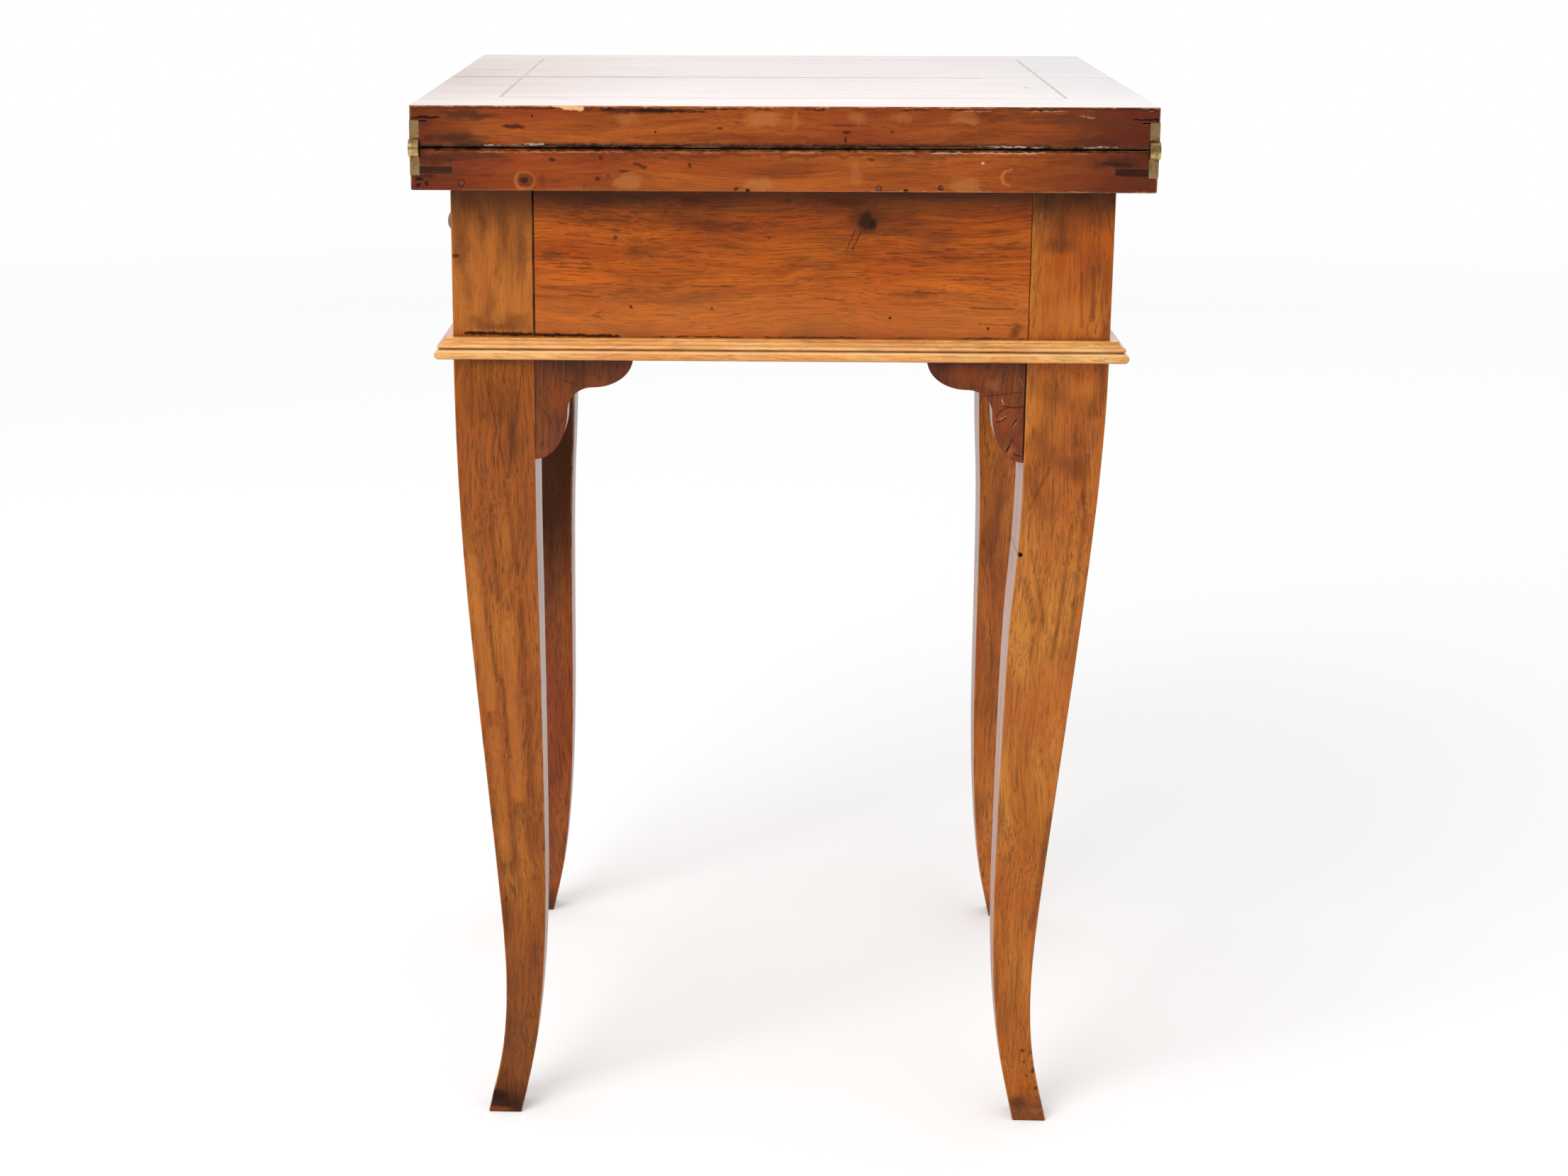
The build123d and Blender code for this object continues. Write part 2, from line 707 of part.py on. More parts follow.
def side_tails(fit=0.0):
    # Dovetails at the front end of a drawer side, grown by fit where they cut their sockets.
    with BuildPart() as tails:
        with BuildSketch(tail_plane):
            with Locations(*tail_levels):
                Trapezoid(tail_width_share * tail_pitch, tail_length, tail_angle, rotation=90)
            if fit:
                offset(amount=fit, kind=Kind.INTERSECTION)
        extrude(amount=-drawer_side_thickness - fit)
    return tails.part


with BuildPart() as drawer_side:
    with BuildSketch(Plane.XY.offset(side_bottom)):
        with Locations((drawer_middle, drawer_side_thickness / 2 - drawer_half)):
            Rectangle(side_length, drawer_side_thickness)
    extrude(amount=drawer_side_height)
    add(side_tails())
    with BuildSketch(Plane.XY.offset(groove_level)):
        with Locations((drawer_middle - groove_depth / 2, -inner_half - groove_depth / 2)):
            Rectangle(side_length + groove_depth, groove_depth)
    extrude(amount=drawer_bottom_thickness + glue_fit, mode=Mode.SUBTRACT)
write(drawer_side, "drawer_side_front")

with BuildPart() as far_side:
    add(mirror(drawer_side.part, about=Plane.XZ, mode=Mode.PRIVATE))
write(far_side, "drawer_side_back")

knob_level = drawer_front_bottom + drawer_front_height / 2
with BuildPart() as drawer_front:
    with BuildSketch(Plane.XY.offset(drawer_front_bottom)):
        with Locations((front_face + drawer_front_thickness / 2, 0)):
            Rectangle(drawer_front_thickness, 2 * drawer_half)
    extrude(amount=drawer_front_height)
    add(side_tails(glue_fit), mode=Mode.SUBTRACT)
    add(mirror(side_tails(glue_fit), about=Plane.XZ, mode=Mode.PRIVATE), mode=Mode.SUBTRACT)
    with BuildSketch(Plane.XY.offset(groove_level)):
        with Locations((front_inner - groove_depth / 2, 0)):
            Rectangle(groove_depth, 2 * (inner_half + groove_depth))
    extrude(amount=drawer_bottom_thickness + glue_fit, mode=Mode.SUBTRACT)
    with BuildSketch(Plane.YZ.offset(front_inner)):
        with Locations((0, knob_level)):
            Circle(knob_screw_radius + screw_fit)
    extrude(amount=-drawer_front_thickness, mode=Mode.SUBTRACT)
write(drawer_front, "drawer_front")

with BuildPart() as drawer_bottom:
    with BuildSketch(Plane.XY.offset(groove_level)):
        with Locations(((front_inner - shallow + drawer_back) / 2, 0)):
            Rectangle(side_length + shallow, 2 * (inner_half + shallow))
    extrude(amount=drawer_bottom_thickness)
write(drawer_bottom, "drawer_bottom")

with BuildPart() as drawer_back_board:
    with BuildSketch(Plane.XY.offset(groove_level + drawer_bottom_thickness)):
        with Locations((drawer_back - drawer_side_thickness / 2, 0)):
            Rectangle(drawer_side_thickness, 2 * inner_half)
    extrude(amount=side_top - groove_level - drawer_bottom_thickness)
write(drawer_back_board, "drawer_back")

# Knob, turned about its axis, and the screw that holds it from inside
neck_end = (knob_neck_radius, 2 * knob_base_thickness)
rim_end = (knob_radius, knob_projection - knob_dome_height)
rim_start = (knob_radius, knob_projection - knob_dome_height - knob_rim_height)
dome_radius = (knob_radius**2 + knob_dome_height**2) / (2 * knob_dome_height)
with BuildPart() as knob:
    with BuildSketch(Plane((front_face, 0, knob_level), x_dir=(0, 1, 0), z_dir=(0, 0, 1))):
        with BuildLine():
            Polyline(
                (0, 0),
                (knob_base_radius, 0),
                (knob_base_radius, knob_base_thickness),
                (knob_neck_radius, 2 * knob_base_thickness),
            )
            RadiusArc(neck_end, rim_start, knob_flare_radius)
            Line(rim_start, rim_end)
            RadiusArc(rim_end, (0, knob_projection), -dome_radius)
            Line((0, knob_projection), (0, 0))
        make_face()
    revolve(axis=Axis((front_face, 0, knob_level), (-1, 0, 0)))
    with BuildSketch(Plane.YZ.offset(front_face)):
        with Locations((0, knob_level)):
            Circle(knob_screw_radius + screw_fit)
    extrude(amount=-knob_screw_engagement - glue_fit, mode=Mode.SUBTRACT)
write(knob, "drawer_knob")

with BuildPart() as knob_screw:
    with BuildSketch(Plane.YZ.offset(front_inner)):
        with Locations((0, knob_level)):
            Circle(knob_screw_head)
    extrude(amount=knob_screw_head_thickness)
    fillet(knob_screw.edges().group_by(Axis.X)[-1], knob_screw_head_thickness / 2)
    with BuildSketch(Plane.YZ.offset(front_inner)):
        with Locations((0, knob_level)):
            Circle(knob_screw_radius)
    extrude(amount=-drawer_front_thickness - knob_screw_engagement)
write(knob_screw, "knob_screw")
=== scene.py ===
import math

import bpy
from mathutils import Matrix, Vector


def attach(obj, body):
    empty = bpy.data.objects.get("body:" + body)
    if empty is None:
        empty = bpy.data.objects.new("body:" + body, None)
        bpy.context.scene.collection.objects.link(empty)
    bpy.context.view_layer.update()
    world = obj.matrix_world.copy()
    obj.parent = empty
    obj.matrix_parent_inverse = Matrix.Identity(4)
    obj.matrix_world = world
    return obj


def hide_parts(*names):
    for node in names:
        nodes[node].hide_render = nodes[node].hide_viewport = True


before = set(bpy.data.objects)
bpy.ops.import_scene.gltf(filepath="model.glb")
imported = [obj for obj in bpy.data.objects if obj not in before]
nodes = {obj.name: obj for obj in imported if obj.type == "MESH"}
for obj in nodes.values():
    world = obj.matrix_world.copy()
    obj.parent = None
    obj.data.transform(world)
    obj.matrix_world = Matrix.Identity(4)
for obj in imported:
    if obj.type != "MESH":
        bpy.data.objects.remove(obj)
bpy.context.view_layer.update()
mm = 0.001
print("frame loaded:", len(nodes), "nodes")


def metres(point):
    return tuple(c * mm for c in point)


def srgb(red, green, blue):
    # a colour as a screen shows it, 0 to 255, turned into light
    linear = [((c / 255 + 0.055) / 1.055) ** 2.4 if c > 10 else c / 255 / 12.92
              for c in (red, green, blue)]
    return (*linear, 1.0)


# short ways to write shader nodes; a value may be a number, a colour or another node's output

def feed(tree, socket, value):
    if isinstance(value, bpy.types.NodeSocket):
        tree.links.new(value, socket)
    else:
        socket.default_value = value


def put(tree, kind, inputs=None, **settings):
    node = tree.nodes.new("ShaderNode" + kind)
    for name, value in settings.items():
        setattr(node, name, value)
    for key, value in (inputs or {}).items():
        feed(tree, node.inputs[key], value)
    return node


def sums(tree, operation, first, second=0.0, clamp=False):
    node = put(tree, "Math", {0: first, 1: second}, operation=operation, use_clamp=clamp)
    return node.outputs[0]


def times(tree, first, second):
    return sums(tree, "MULTIPLY", first, second)


def vectorSums(tree, operation, first, second=(0.0, 0.0, 0.0)):
    node = put(tree, "VectorMath", {0: first, 1: second}, operation=operation)
    return node.outputs["Value" if operation in ("DOT_PRODUCT", "LENGTH") else "Vector"]


def stretched(tree, vector, factors):
    return vectorSums(tree, "MULTIPLY", vector, factors)


def blend(tree, amount, under, over):
    # two colours, the second laid over the first
    node = put(tree, "Mix", {0: amount, 6: under, 7: over}, data_type="RGBA")
    return node.outputs[2]


def between(tree, value, low, high, lowOut=0.0, highOut=1.0):
    # a soft step from one value to another
    inputs = {"Value": value, "From Min": low, "From Max": high,
              "To Min": lowOut, "To Max": highOut}
    return put(tree, "MapRange", inputs, interpolation_type="SMOOTHSTEP").outputs["Result"]


def noise(tree, vector, scale, detail, roughness=0.5):
    inputs = {"Vector": vector, "Scale": scale, "Detail": detail, "Roughness": roughness}
    return put(tree, "TexNoise", inputs).outputs["Fac"]


def axisPart(tree, vector, axis):
    return put(tree, "SeparateXYZ", {0: vector}).outputs[axis]


def shifts(tree, vector, scale, detail):
    # a noise that points to and fro
    colour = put(tree, "TexNoise", {"Vector": vector, "Scale": scale, "Detail": detail})
    return vectorSums(tree, "SUBTRACT", colour.outputs["Color"], (0.5, 0.5, 0.5))


def newGroup(name, inputs, outputs):
    tree = bpy.data.node_groups.new(name, "ShaderNodeTree")
    for way, sockets in (("INPUT", inputs), ("OUTPUT", outputs)):
        for label, kind in sockets.items():
            tree.interface.new_socket(label, in_out=way, socket_type="NodeSocket" + kind)
    given = tree.nodes.new("NodeGroupInput").outputs
    return tree, given, tree.nodes.new("NodeGroupOutput").inputs


def useGroup(tree, group, inputs):
    node = tree.nodes.new("ShaderNodeGroup")
    node.node_tree = group
    for key, value in inputs.items():
        feed(tree, node.inputs[key], value)
    return node.outputs


# the layers of the figure: fineness along and across the grain, detail, roughness
figureLayers = {
    "wide": (7.0, 90.0, 5.0, 0.6), "fibres": (22.0, 760.0, 4.0, 0.65),
    "pores": (75.0, 1500.0, 1.0, 0.5), "dashes": (36.0, 420.0, 2.0, 0.5),
    "smoke": (11.0, 42.0, 5.0, 0.62), "areas": (7.0, 13.0, 2.0, 0.5),
}
# from which noise value to which a layer shows, and how much of it
figureSteps = {
    "wide": (0.36, 0.66), "areas": (0.42, 0.68, 0.0, 0.75), "fibres": (0.42, 0.72),
    "pores": (0.6, 0.68), "dashes": (0.64, 0.72), "smoke": (0.48, 0.74),
}
figureBend = {"scale": (6.0, 12.0, 12.0), "detail": 2.0, "reach": (0.0, 0.03, 0.03)}
figureMix = {"fibreHeight": 0.5, "smokePolish": 0.6, "widePolish": 0.4}


def buildGrain():
    # streaks, fine fibres, short pores, smoky patches and redder areas; the grain runs along X
    tree, given, out = newGroup(
        "woodGrain",
        {"Vector": "Vector", "Light": "Color", "Middle": "Color", "Red": "Color",
         "Dark": "Color", "Fibre": "Float", "Pores": "Float", "Smoke": "Float"},
        {"Color": "Color", "Height": "Float", "Polish": "Float"})
    place = given["Vector"]
    wander = shifts(tree, stretched(tree, place, figureBend["scale"]), 1.0, figureBend["detail"])
    bent = vectorSums(tree, "ADD", place, stretched(tree, wander, figureBend["reach"]))
    layer, shown = {}, {}
    for name, (length, width, detail, roughness) in figureLayers.items():
        run = stretched(tree, place if name == "areas" else bent, (length, width, width))
        layer[name] = noise(tree, run, 1.0, detail, roughness)
        shown[name] = between(tree, layer[name], *figureSteps[name])
    colour = blend(tree, shown["wide"], given["Middle"], given["Light"])
    colour = blend(tree, shown["areas"], colour, given["Red"])
    colour = blend(tree, times(tree, shown["fibres"], given["Fibre"]), colour, given["Dark"])
    pore = sums(tree, "MAXIMUM", shown["pores"], shown["dashes"])
    pore = times(tree, pore, given["Pores"])
    colour = blend(tree, pore, colour, given["Dark"])
    colour = blend(tree, times(tree, shown["smoke"], given["Smoke"]), colour, given["Dark"])
    feed(tree, out["Color"], colour)
    raised = times(tree, layer["fibres"], figureMix["fibreHeight"])
    feed(tree, out["Height"], sums(tree, "SUBTRACT", raised, pore))
    feed(tree, out["Polish"], sums(tree, "ADD",
                                   times(tree, layer["smoke"], figureMix["smokePolish"]),
                                   times(tree, layer["wide"], figureMix["widePolish"])))
    return tree


endFigure = {"distortion": 9.0, "detail": 3.0, "detailScale": 0.2, "detailRoughness": 0.55,
             "poreFineness": 900.0, "poreDetail": 2.0, "poreStep": (0.58, 0.68),
             "waveUnit": math.tau / 20}  # turns the spacing of the rings into a wave's scale


def buildEndGrain():
    # growth rings and open pores on a sawn end, round a pith at a place of its own
    tree, given, out = newGroup(
        "endGrain", {"Vector": "Vector", "Pith": "Vector", "Spacing": "Float"},
        {"Rings": "Float", "Pores": "Float"})
    away = vectorSums(tree, "SUBTRACT", given["Vector"], given["Pith"])
    rings = put(tree, "TexWave", {
        "Vector": away, "Scale": sums(tree, "DIVIDE", endFigure["waveUnit"], given["Spacing"]),
        "Distortion": endFigure["distortion"], "Detail": endFigure["detail"],
        "Detail Scale": endFigure["detailScale"],
        "Detail Roughness": endFigure["detailRoughness"]},
        wave_type="RINGS", rings_direction="X", wave_profile="SAW")
    feed(tree, out["Rings"], rings.outputs["Fac"])
    pores = noise(tree, away, endFigure["poreFineness"], endFigure["poreDetail"])
    feed(tree, out["Pores"], between(tree, pores, *endFigure["poreStep"]))
    return tree


raggedNoise = {"detail": 4.0, "roughness": 0.65}  # of patches of wear, gaps and outlines
raySamples = 6  # for rounded arrises and for corners
# how far a face has turned, how far it slants and where the patches of wear lie
edgeSteps = {"turned": (0.02, 0.2), "slanted": (0.95, 0.8), "patches": (0.36, 0.62)}


def buildWear():
    # where an arris has been rubbed, and the rounded normal there
    tree, given, out = newGroup(
        "edgeWear", {"Vector": "Vector", "Radius": "Float", "Breaks": "Float"},
        {"Mask": "Float", "Normal": "Vector"})
    rounded = put(tree, "Bevel", {"Radius": given["Radius"]}, samples=raySamples).outputs["Normal"]
    plain = put(tree, "NewGeometry").outputs["Normal"]
    turned = sums(tree, "SUBTRACT", 1.0, vectorSums(tree, "DOT_PRODUCT", rounded, plain))
    # a rounded arris faces between two axes
    normal = vectorSums(tree, "ABSOLUTE", put(tree, "TexCoord").outputs["Normal"])
    normal = put(tree, "SeparateXYZ", {0: normal}).outputs
    straight = sums(tree, "MAXIMUM", normal["Z"], sums(tree, "MAXIMUM", normal["X"], normal["Y"]))
    edge = sums(tree, "MAXIMUM", between(tree, turned, *edgeSteps["turned"]),
                between(tree, straight, *edgeSteps["slanted"]))
    patches = noise(tree, given["Vector"], given["Breaks"], **raggedNoise)
    feed(tree, out["Mask"], times(tree, edge, between(tree, patches, *edgeSteps["patches"])))
    feed(tree, out["Normal"], rounded)
    return tree


cornerStep = (0.62, 0.2)  # from an open face to a deep corner


def buildCornerSootAndShade():
    # soot in corners and joints, and painted shade: darker where little ambient light reaches
    tree, given, out = newGroup("cornerSootAndShadeMask", {"Distance": "Float"}, {"Mask": "Float"})
    openness = put(tree, "AmbientOcclusion", {"Distance": given["Distance"]}, samples=raySamples)
    feed(tree, out["Mask"], between(tree, openness.outputs["AO"], *cornerStep))
    return tree


def buildSpot():
    # one soft-edged oval mark at a named place
    tree, given, out = newGroup(
        "ovalMark", {"Vector": "Vector", "Centre": "Vector", "Size": "Vector", "Edge": "Float"},
        {"Mask": "Float"})
    away = vectorSums(tree, "SUBTRACT", given["Vector"], given["Centre"])
    away = vectorSums(tree, "LENGTH", vectorSums(tree, "DIVIDE", away, given["Size"]))
    inner = sums(tree, "SUBTRACT", 1.0, given["Edge"])
    feed(tree, out["Mask"], between(tree, away, 1.0, inner))
    return tree


strokeCore = 0.35  # the part of a line's half width that is at full strength


def buildStroke():
    # a scratch, crack or line between two points
    tree, given, out = newGroup(
        "lineMark", {"Vector": "Vector", "Start": "Vector", "End": "Vector", "Width": "Float"},
        {"Mask": "Float"})
    reach = vectorSums(tree, "SUBTRACT", given["Vector"], given["Start"])
    line = vectorSums(tree, "SUBTRACT", given["End"], given["Start"])
    along = sums(tree, "DIVIDE", vectorSums(tree, "DOT_PRODUCT", reach, line),
                 vectorSums(tree, "DOT_PRODUCT", line, line), clamp=True)
    foot = put(tree, "VectorMath", {0: line, "Scale": along}, operation="SCALE").outputs["Vector"]
    away = vectorSums(tree, "LENGTH", vectorSums(tree, "SUBTRACT", reach, foot))
    core = times(tree, given["Width"], strokeCore)
    feed(tree, out["Mask"], between(tree, away, given["Width"], core))
    return tree


tarnish = {"detail": 5.0, "roughness": 0.6, "dulled": (0.3, 0.72),
           "finer": 7.0, "fineDetail": 3.0, "stained": (0.52, 0.72), "stain": 0.35}


def buildPatina():
    # tarnish in patches, with finer stains between them
    tree, given, out = newGroup(
        "patina", {"Vector": "Vector", "Patches": "Float", "Bright": "Color", "Dull": "Color",
                   "Stain": "Color"},
        {"Color": "Color", "Patch": "Float", "Fine": "Float"})
    place, rough = given["Vector"], tarnish["roughness"]
    patch = noise(tree, place, given["Patches"], tarnish["detail"], rough)
    finer = times(tree, given["Patches"], tarnish["finer"])
    fine = noise(tree, place, finer, tarnish["fineDetail"], rough)
    colour = blend(tree, between(tree, patch, *tarnish["dulled"]), given["Bright"], given["Dull"])
    stained = times(tree, between(tree, fine, *tarnish["stained"]), tarnish["stain"])
    feed(tree, out["Color"], blend(tree, stained, colour, given["Stain"]))
    feed(tree, out["Patch"], patch)
    feed(tree, out["Fine"], fine)
    return tree


facingSteps = {"sawn": (0.75, 0.9), "upright": (0.9, 0.75)}


def buildFacing():
    # which faces are sawn across the grain, and which stand upright
    tree, given, out = newGroup("facing", {"Grain": "Vector"},
                                {"Sawn": "Float", "Upright": "Float"})
    normal = vectorSums(tree, "ABSOLUTE", put(tree, "TexCoord").outputs["Normal"])
    across = vectorSums(tree, "DOT_PRODUCT", normal, given["Grain"])
    feed(tree, out["Sawn"], between(tree, across, *facingSteps["sawn"]))
    level = axisPart(tree, normal, "Z")
    feed(tree, out["Upright"], between(tree, level, *facingSteps["upright"]))
    return tree


grainGroup = buildGrain()
endGroup = buildEndGrain()
wearGroup = buildWear()
cornerSootAndShadeGroup = buildCornerSootAndShade()
spotGroup = buildSpot()
strokeGroup = buildStroke()
patinaGroup = buildPatina()
facingGroup = buildFacing()
print("shared effects built")


# colours of stains, dirt, knots and bare wood, and of painted shade and highlights, 0 to 255
shades = {
    "sootAndShade": (16, 8, 5), "dent": (62, 26, 14), "stain": (176, 104, 52), "raw": (238, 182, 128),
    "plug": (116, 70, 54), "ring": (180, 100, 42), "knot": (104, 48, 22), "endRed": (84, 28, 14),
    "smoke": (70, 30, 14), "fleckAndGlint": (206, 184, 170), "arris": (206, 146, 96),
    "shadow": (42, 20, 10), "foot": (74, 38, 14), "scratch": (196, 136, 96), "brown": (84, 42, 16),
    "wood": (156, 72, 20), "red": (164, 60, 12), "tip": (92, 50, 34), "honey": (206, 124, 52),
    "pale": (250, 214, 172), "blotAndShadow": (60, 34, 20), "cloud": (92, 46, 22), "amber": (164, 88, 30),
}
shades = {name: srgb(*colour) for name, colour in shades.items()}
# colours, polish and strength of the figure for each kind of board; pith in mm
leafLook = {
    "pith": (0, -110, 640), "light": srgb(178, 90, 26), "middle": srgb(150, 68, 18),
    "red": srgb(138, 52, 16), "dark": srgb(70, 26, 10), "bare": srgb(206, 138, 84),
    "rough": (0.24, 0.36), "coat": 1.0, "coatRough": 0.08, "smoke": 0.45, "fibre": 0.4,
    "pores": 0.3, "cornerSootAndShade": 0.8, "rubbed": 0.3, "raised": 0.15,
}
frameLook = {
    **leafLook, "raised": 0.3, "light": srgb(204, 102, 14), "middle": srgb(168, 78, 8),
    "red": srgb(160, 60, 4), "dark": srgb(74, 34, 6), "coat": 0.6, "coatRough": 0.15,
    "rough": (0.3, 0.45), "smoke": 0.6, "fibre": 0.6, "pores": 0.55,
}
legLook = {
    **frameLook, "light": srgb(184, 106, 26), "middle": srgb(156, 80, 10), "red": srgb(156, 75, 8),
    "dark": srgb(70, 36, 8), "pores": 0.6, "smoke": 0.5, "rubbed": 0.85, "bare": srgb(206, 128, 58),
    "coat": 0.5, "coatRough": 0.1,
}
rightLook = {
    **legLook, "light": srgb(206, 128, 46), "middle": srgb(180, 100, 20), "red": srgb(176, 86, 16),
    "dark": srgb(96, 50, 18),
}
hindLook = {
    **legLook, "light": srgb(172, 92, 34), "middle": srgb(144, 70, 22), "red": srgb(138, 58, 18),
    "dark": srgb(66, 32, 12),
}
# a lighter copy of the frame wood: the moulding's own tone, with the light falling on its top
# painted in
mouldingLook = {
    **frameLook, "light": srgb(252, 190, 112), "middle": srgb(238, 162, 84),
    "red": srgb(228, 142, 66), "dark": srgb(128, 66, 26), "bare": srgb(246, 200, 144),
    "smoke": 0.35, "fibre": 0.5, "pores": 0.4, "rubbed": 0.35,
    # painted highlights on the torus and bead (pale), painted shade in the quirk, cove and under
    # the torus
    "shadeAndHighlightLines": [
        (582.9, 0.6, "brown", 0.4), (588.7, 0.45, "amber", 0.5), (581.4, 0.7, "pale", 0.6),
        (575.2, 1.9, "amber", 0.7), (585, 0.6, "pale", 0.4),
    ],
}
bracketLook = {
    **frameLook, "light": srgb(140, 72, 22), "middle": srgb(112, 52, 14), "red": srgb(124, 50, 14),
    "dark": srgb(50, 24, 12), "bare": srgb(160, 96, 56), "rubbed": 0.5, "fibre": 0.7, "smoke": 0.7,
}
darkLook = {
    **frameLook, "light": srgb(74, 36, 20), "middle": srgb(58, 26, 14), "red": srgb(64, 24, 14),
    "dark": srgb(30, 14, 8), "bare": srgb(120, 72, 44), "rubbed": 0.1,
}
drawerLook = {
    **frameLook, "light": srgb(186, 134, 80), "middle": srgb(168, 114, 62),
    "red": srgb(156, 98, 52), "dark": srgb(104, 66, 36), "coat": 0.0, "rough": (0.5, 0.7),
}

axes = {"x": (1.0, 0.0, 0.0), "y": (0.0, 1.0, 0.0), "z": (0.0, 0.0, 1.0)}
turns = {"x": (0.0, 0.0, 0.0), "y": (0.0, 0.0, math.pi / 2), "z": (0.0, math.pi / 2, 0.0)}
# how ragged the outline of a mark is: fineness of the noise and its reach
outlines = {"uneven": (260.0, 0.0028), "torn": (110.0, 0.012)}
surface = {
    "ringSpacing": 0.0045, "endTint": 0.3, "lateWood": 0.6, "openPores": 0.5,
    "gapFineness": (45.0, 45.0, 160.0), "gaps": (0.44, 0.56), "patchyBand": (0.3, 0.62, 0.7, 1.0),
    "stripeCore": 0.4, "cornerSootAndShadeReach": 0.004, "edgeRadius": 0.0009, "edgeBreaks": 60.0,
    "polishSpan": (0.3, 0.7), "markRough": 0.9, "bumpHeight": 0.00012,
    "ior": 1.45, "specular": 0.15, "coatIor": 1.36,
}


def stirred(tree, place, scale, reach):
    # a place shifted a little to and fro, so that an outline drawn with it comes out ragged
    stir = shifts(tree, place, scale, raggedNoise["detail"])
    return vectorSums(tree, "ADD", place, stretched(tree, stir, (reach, reach, reach)))


def markPlaces(tree, place, look):
    # the coordinates that marks are drawn in, with sharp, uneven or torn outlines
    marked = place
    if "front" in look:
        # the marks of a curved face are laid flat, whatever its depth
        marked = stretched(tree, place, (1.0, 0.0, 1.0))
        marked = vectorSums(tree, "ADD", marked, (0.0, look["front"] * mm, 0.0))
    places = {name: stirred(tree, marked, *ragged) for name, ragged in outlines.items()}
    gaps = noise(tree, stretched(tree, place, surface["gapFineness"]), 1.0, **raggedNoise)
    return {**places, "plain": marked, "broken": between(tree, gaps, *surface["gaps"])}


def layBand(tree, places, grain, facing, colour, band):
    # a stain or painted shade growing from one level in mm to another along an axis, then staying
    axis, start, end, shade, strength = band
    part = axisPart(tree, places["uneven"], axis.upper())
    mask = times(tree, between(tree, part, start * mm, end * mm), strength)
    if axis == "z":
        mask = times(tree, mask, facing["Upright"])
    patchy = between(tree, grain["Polish"], *surface["patchyBand"])
    return blend(tree, times(tree, mask, patchy), colour, shades[shade])


def layShadeAndHighlightLine(tree, place, colour, paintedLine):
    # a level line of painted shade or highlight all along: middle, half width in mm, shade,
    # strength
    middle, half, shade, strength = paintedLine
    away = sums(tree, "SUBTRACT", axisPart(tree, place, "Z"), middle * mm)
    mask = between(tree, sums(tree, "ABSOLUTE", away), half * mm,
                   half * surface["stripeCore"] * mm)
    return blend(tree, times(tree, mask, strength), colour, shades[shade])


def layEnds(tree, run, facing, look, colour):
    # rings and pores on the sawn ends
    pith = tuple((a + b) * mm for a, b in zip(look["pith"], look["shift"]))
    ends = useGroup(tree, endGroup, {"Vector": run, "Pith": pith,
                                     "Spacing": surface["ringSpacing"]})
    colour = blend(tree, times(tree, facing["Sawn"], surface["endTint"]), colour, look["red"])
    late = times(tree, sums(tree, "POWER", ends["Rings"], 2.0), surface["lateWood"])
    late = sums(tree, "MAXIMUM", late, times(tree, ends["Pores"], surface["openPores"]))
    return blend(tree, times(tree, facing["Sawn"], late), colour, look["dark"])


def layMark(tree, places, colour, mark):
    # kind, place, half size or second place, shade, strength, soft edge or width of a line, in mm
    kind, first, second, shade, strength, edge = mark
    if kind in ("spot", "patch"):
        vector = places["torn" if kind == "patch" else "uneven"]
        inputs = {"Vector": vector, "Centre": metres(first), "Size": metres(second), "Edge": edge}
        mask = useGroup(tree, spotGroup, inputs)["Mask"]
    else:
        vector = places["plain" if kind == "seam" else "uneven"]
        inputs = {"Vector": vector, "Start": metres(first), "End": metres(second),
                  "Width": edge * mm}
        mask = useGroup(tree, strokeGroup, inputs)["Mask"]
        if kind == "worn":
            mask = times(tree, mask, places["broken"])
    mask = times(tree, mask, strength)
    return blend(tree, mask, colour, shades[shade]), mask


def named(look, vector, names):
    # the inputs of a group whose sockets are called like the values of a look
    return {"Vector": vector, **{name.title(): look[name] for name in names}}


def newMaterial(name):
    material = bpy.data.materials.new(name)
    material.use_nodes = True
    tree = material.node_tree
    return material, tree, tree.nodes["Principled BSDF"].inputs


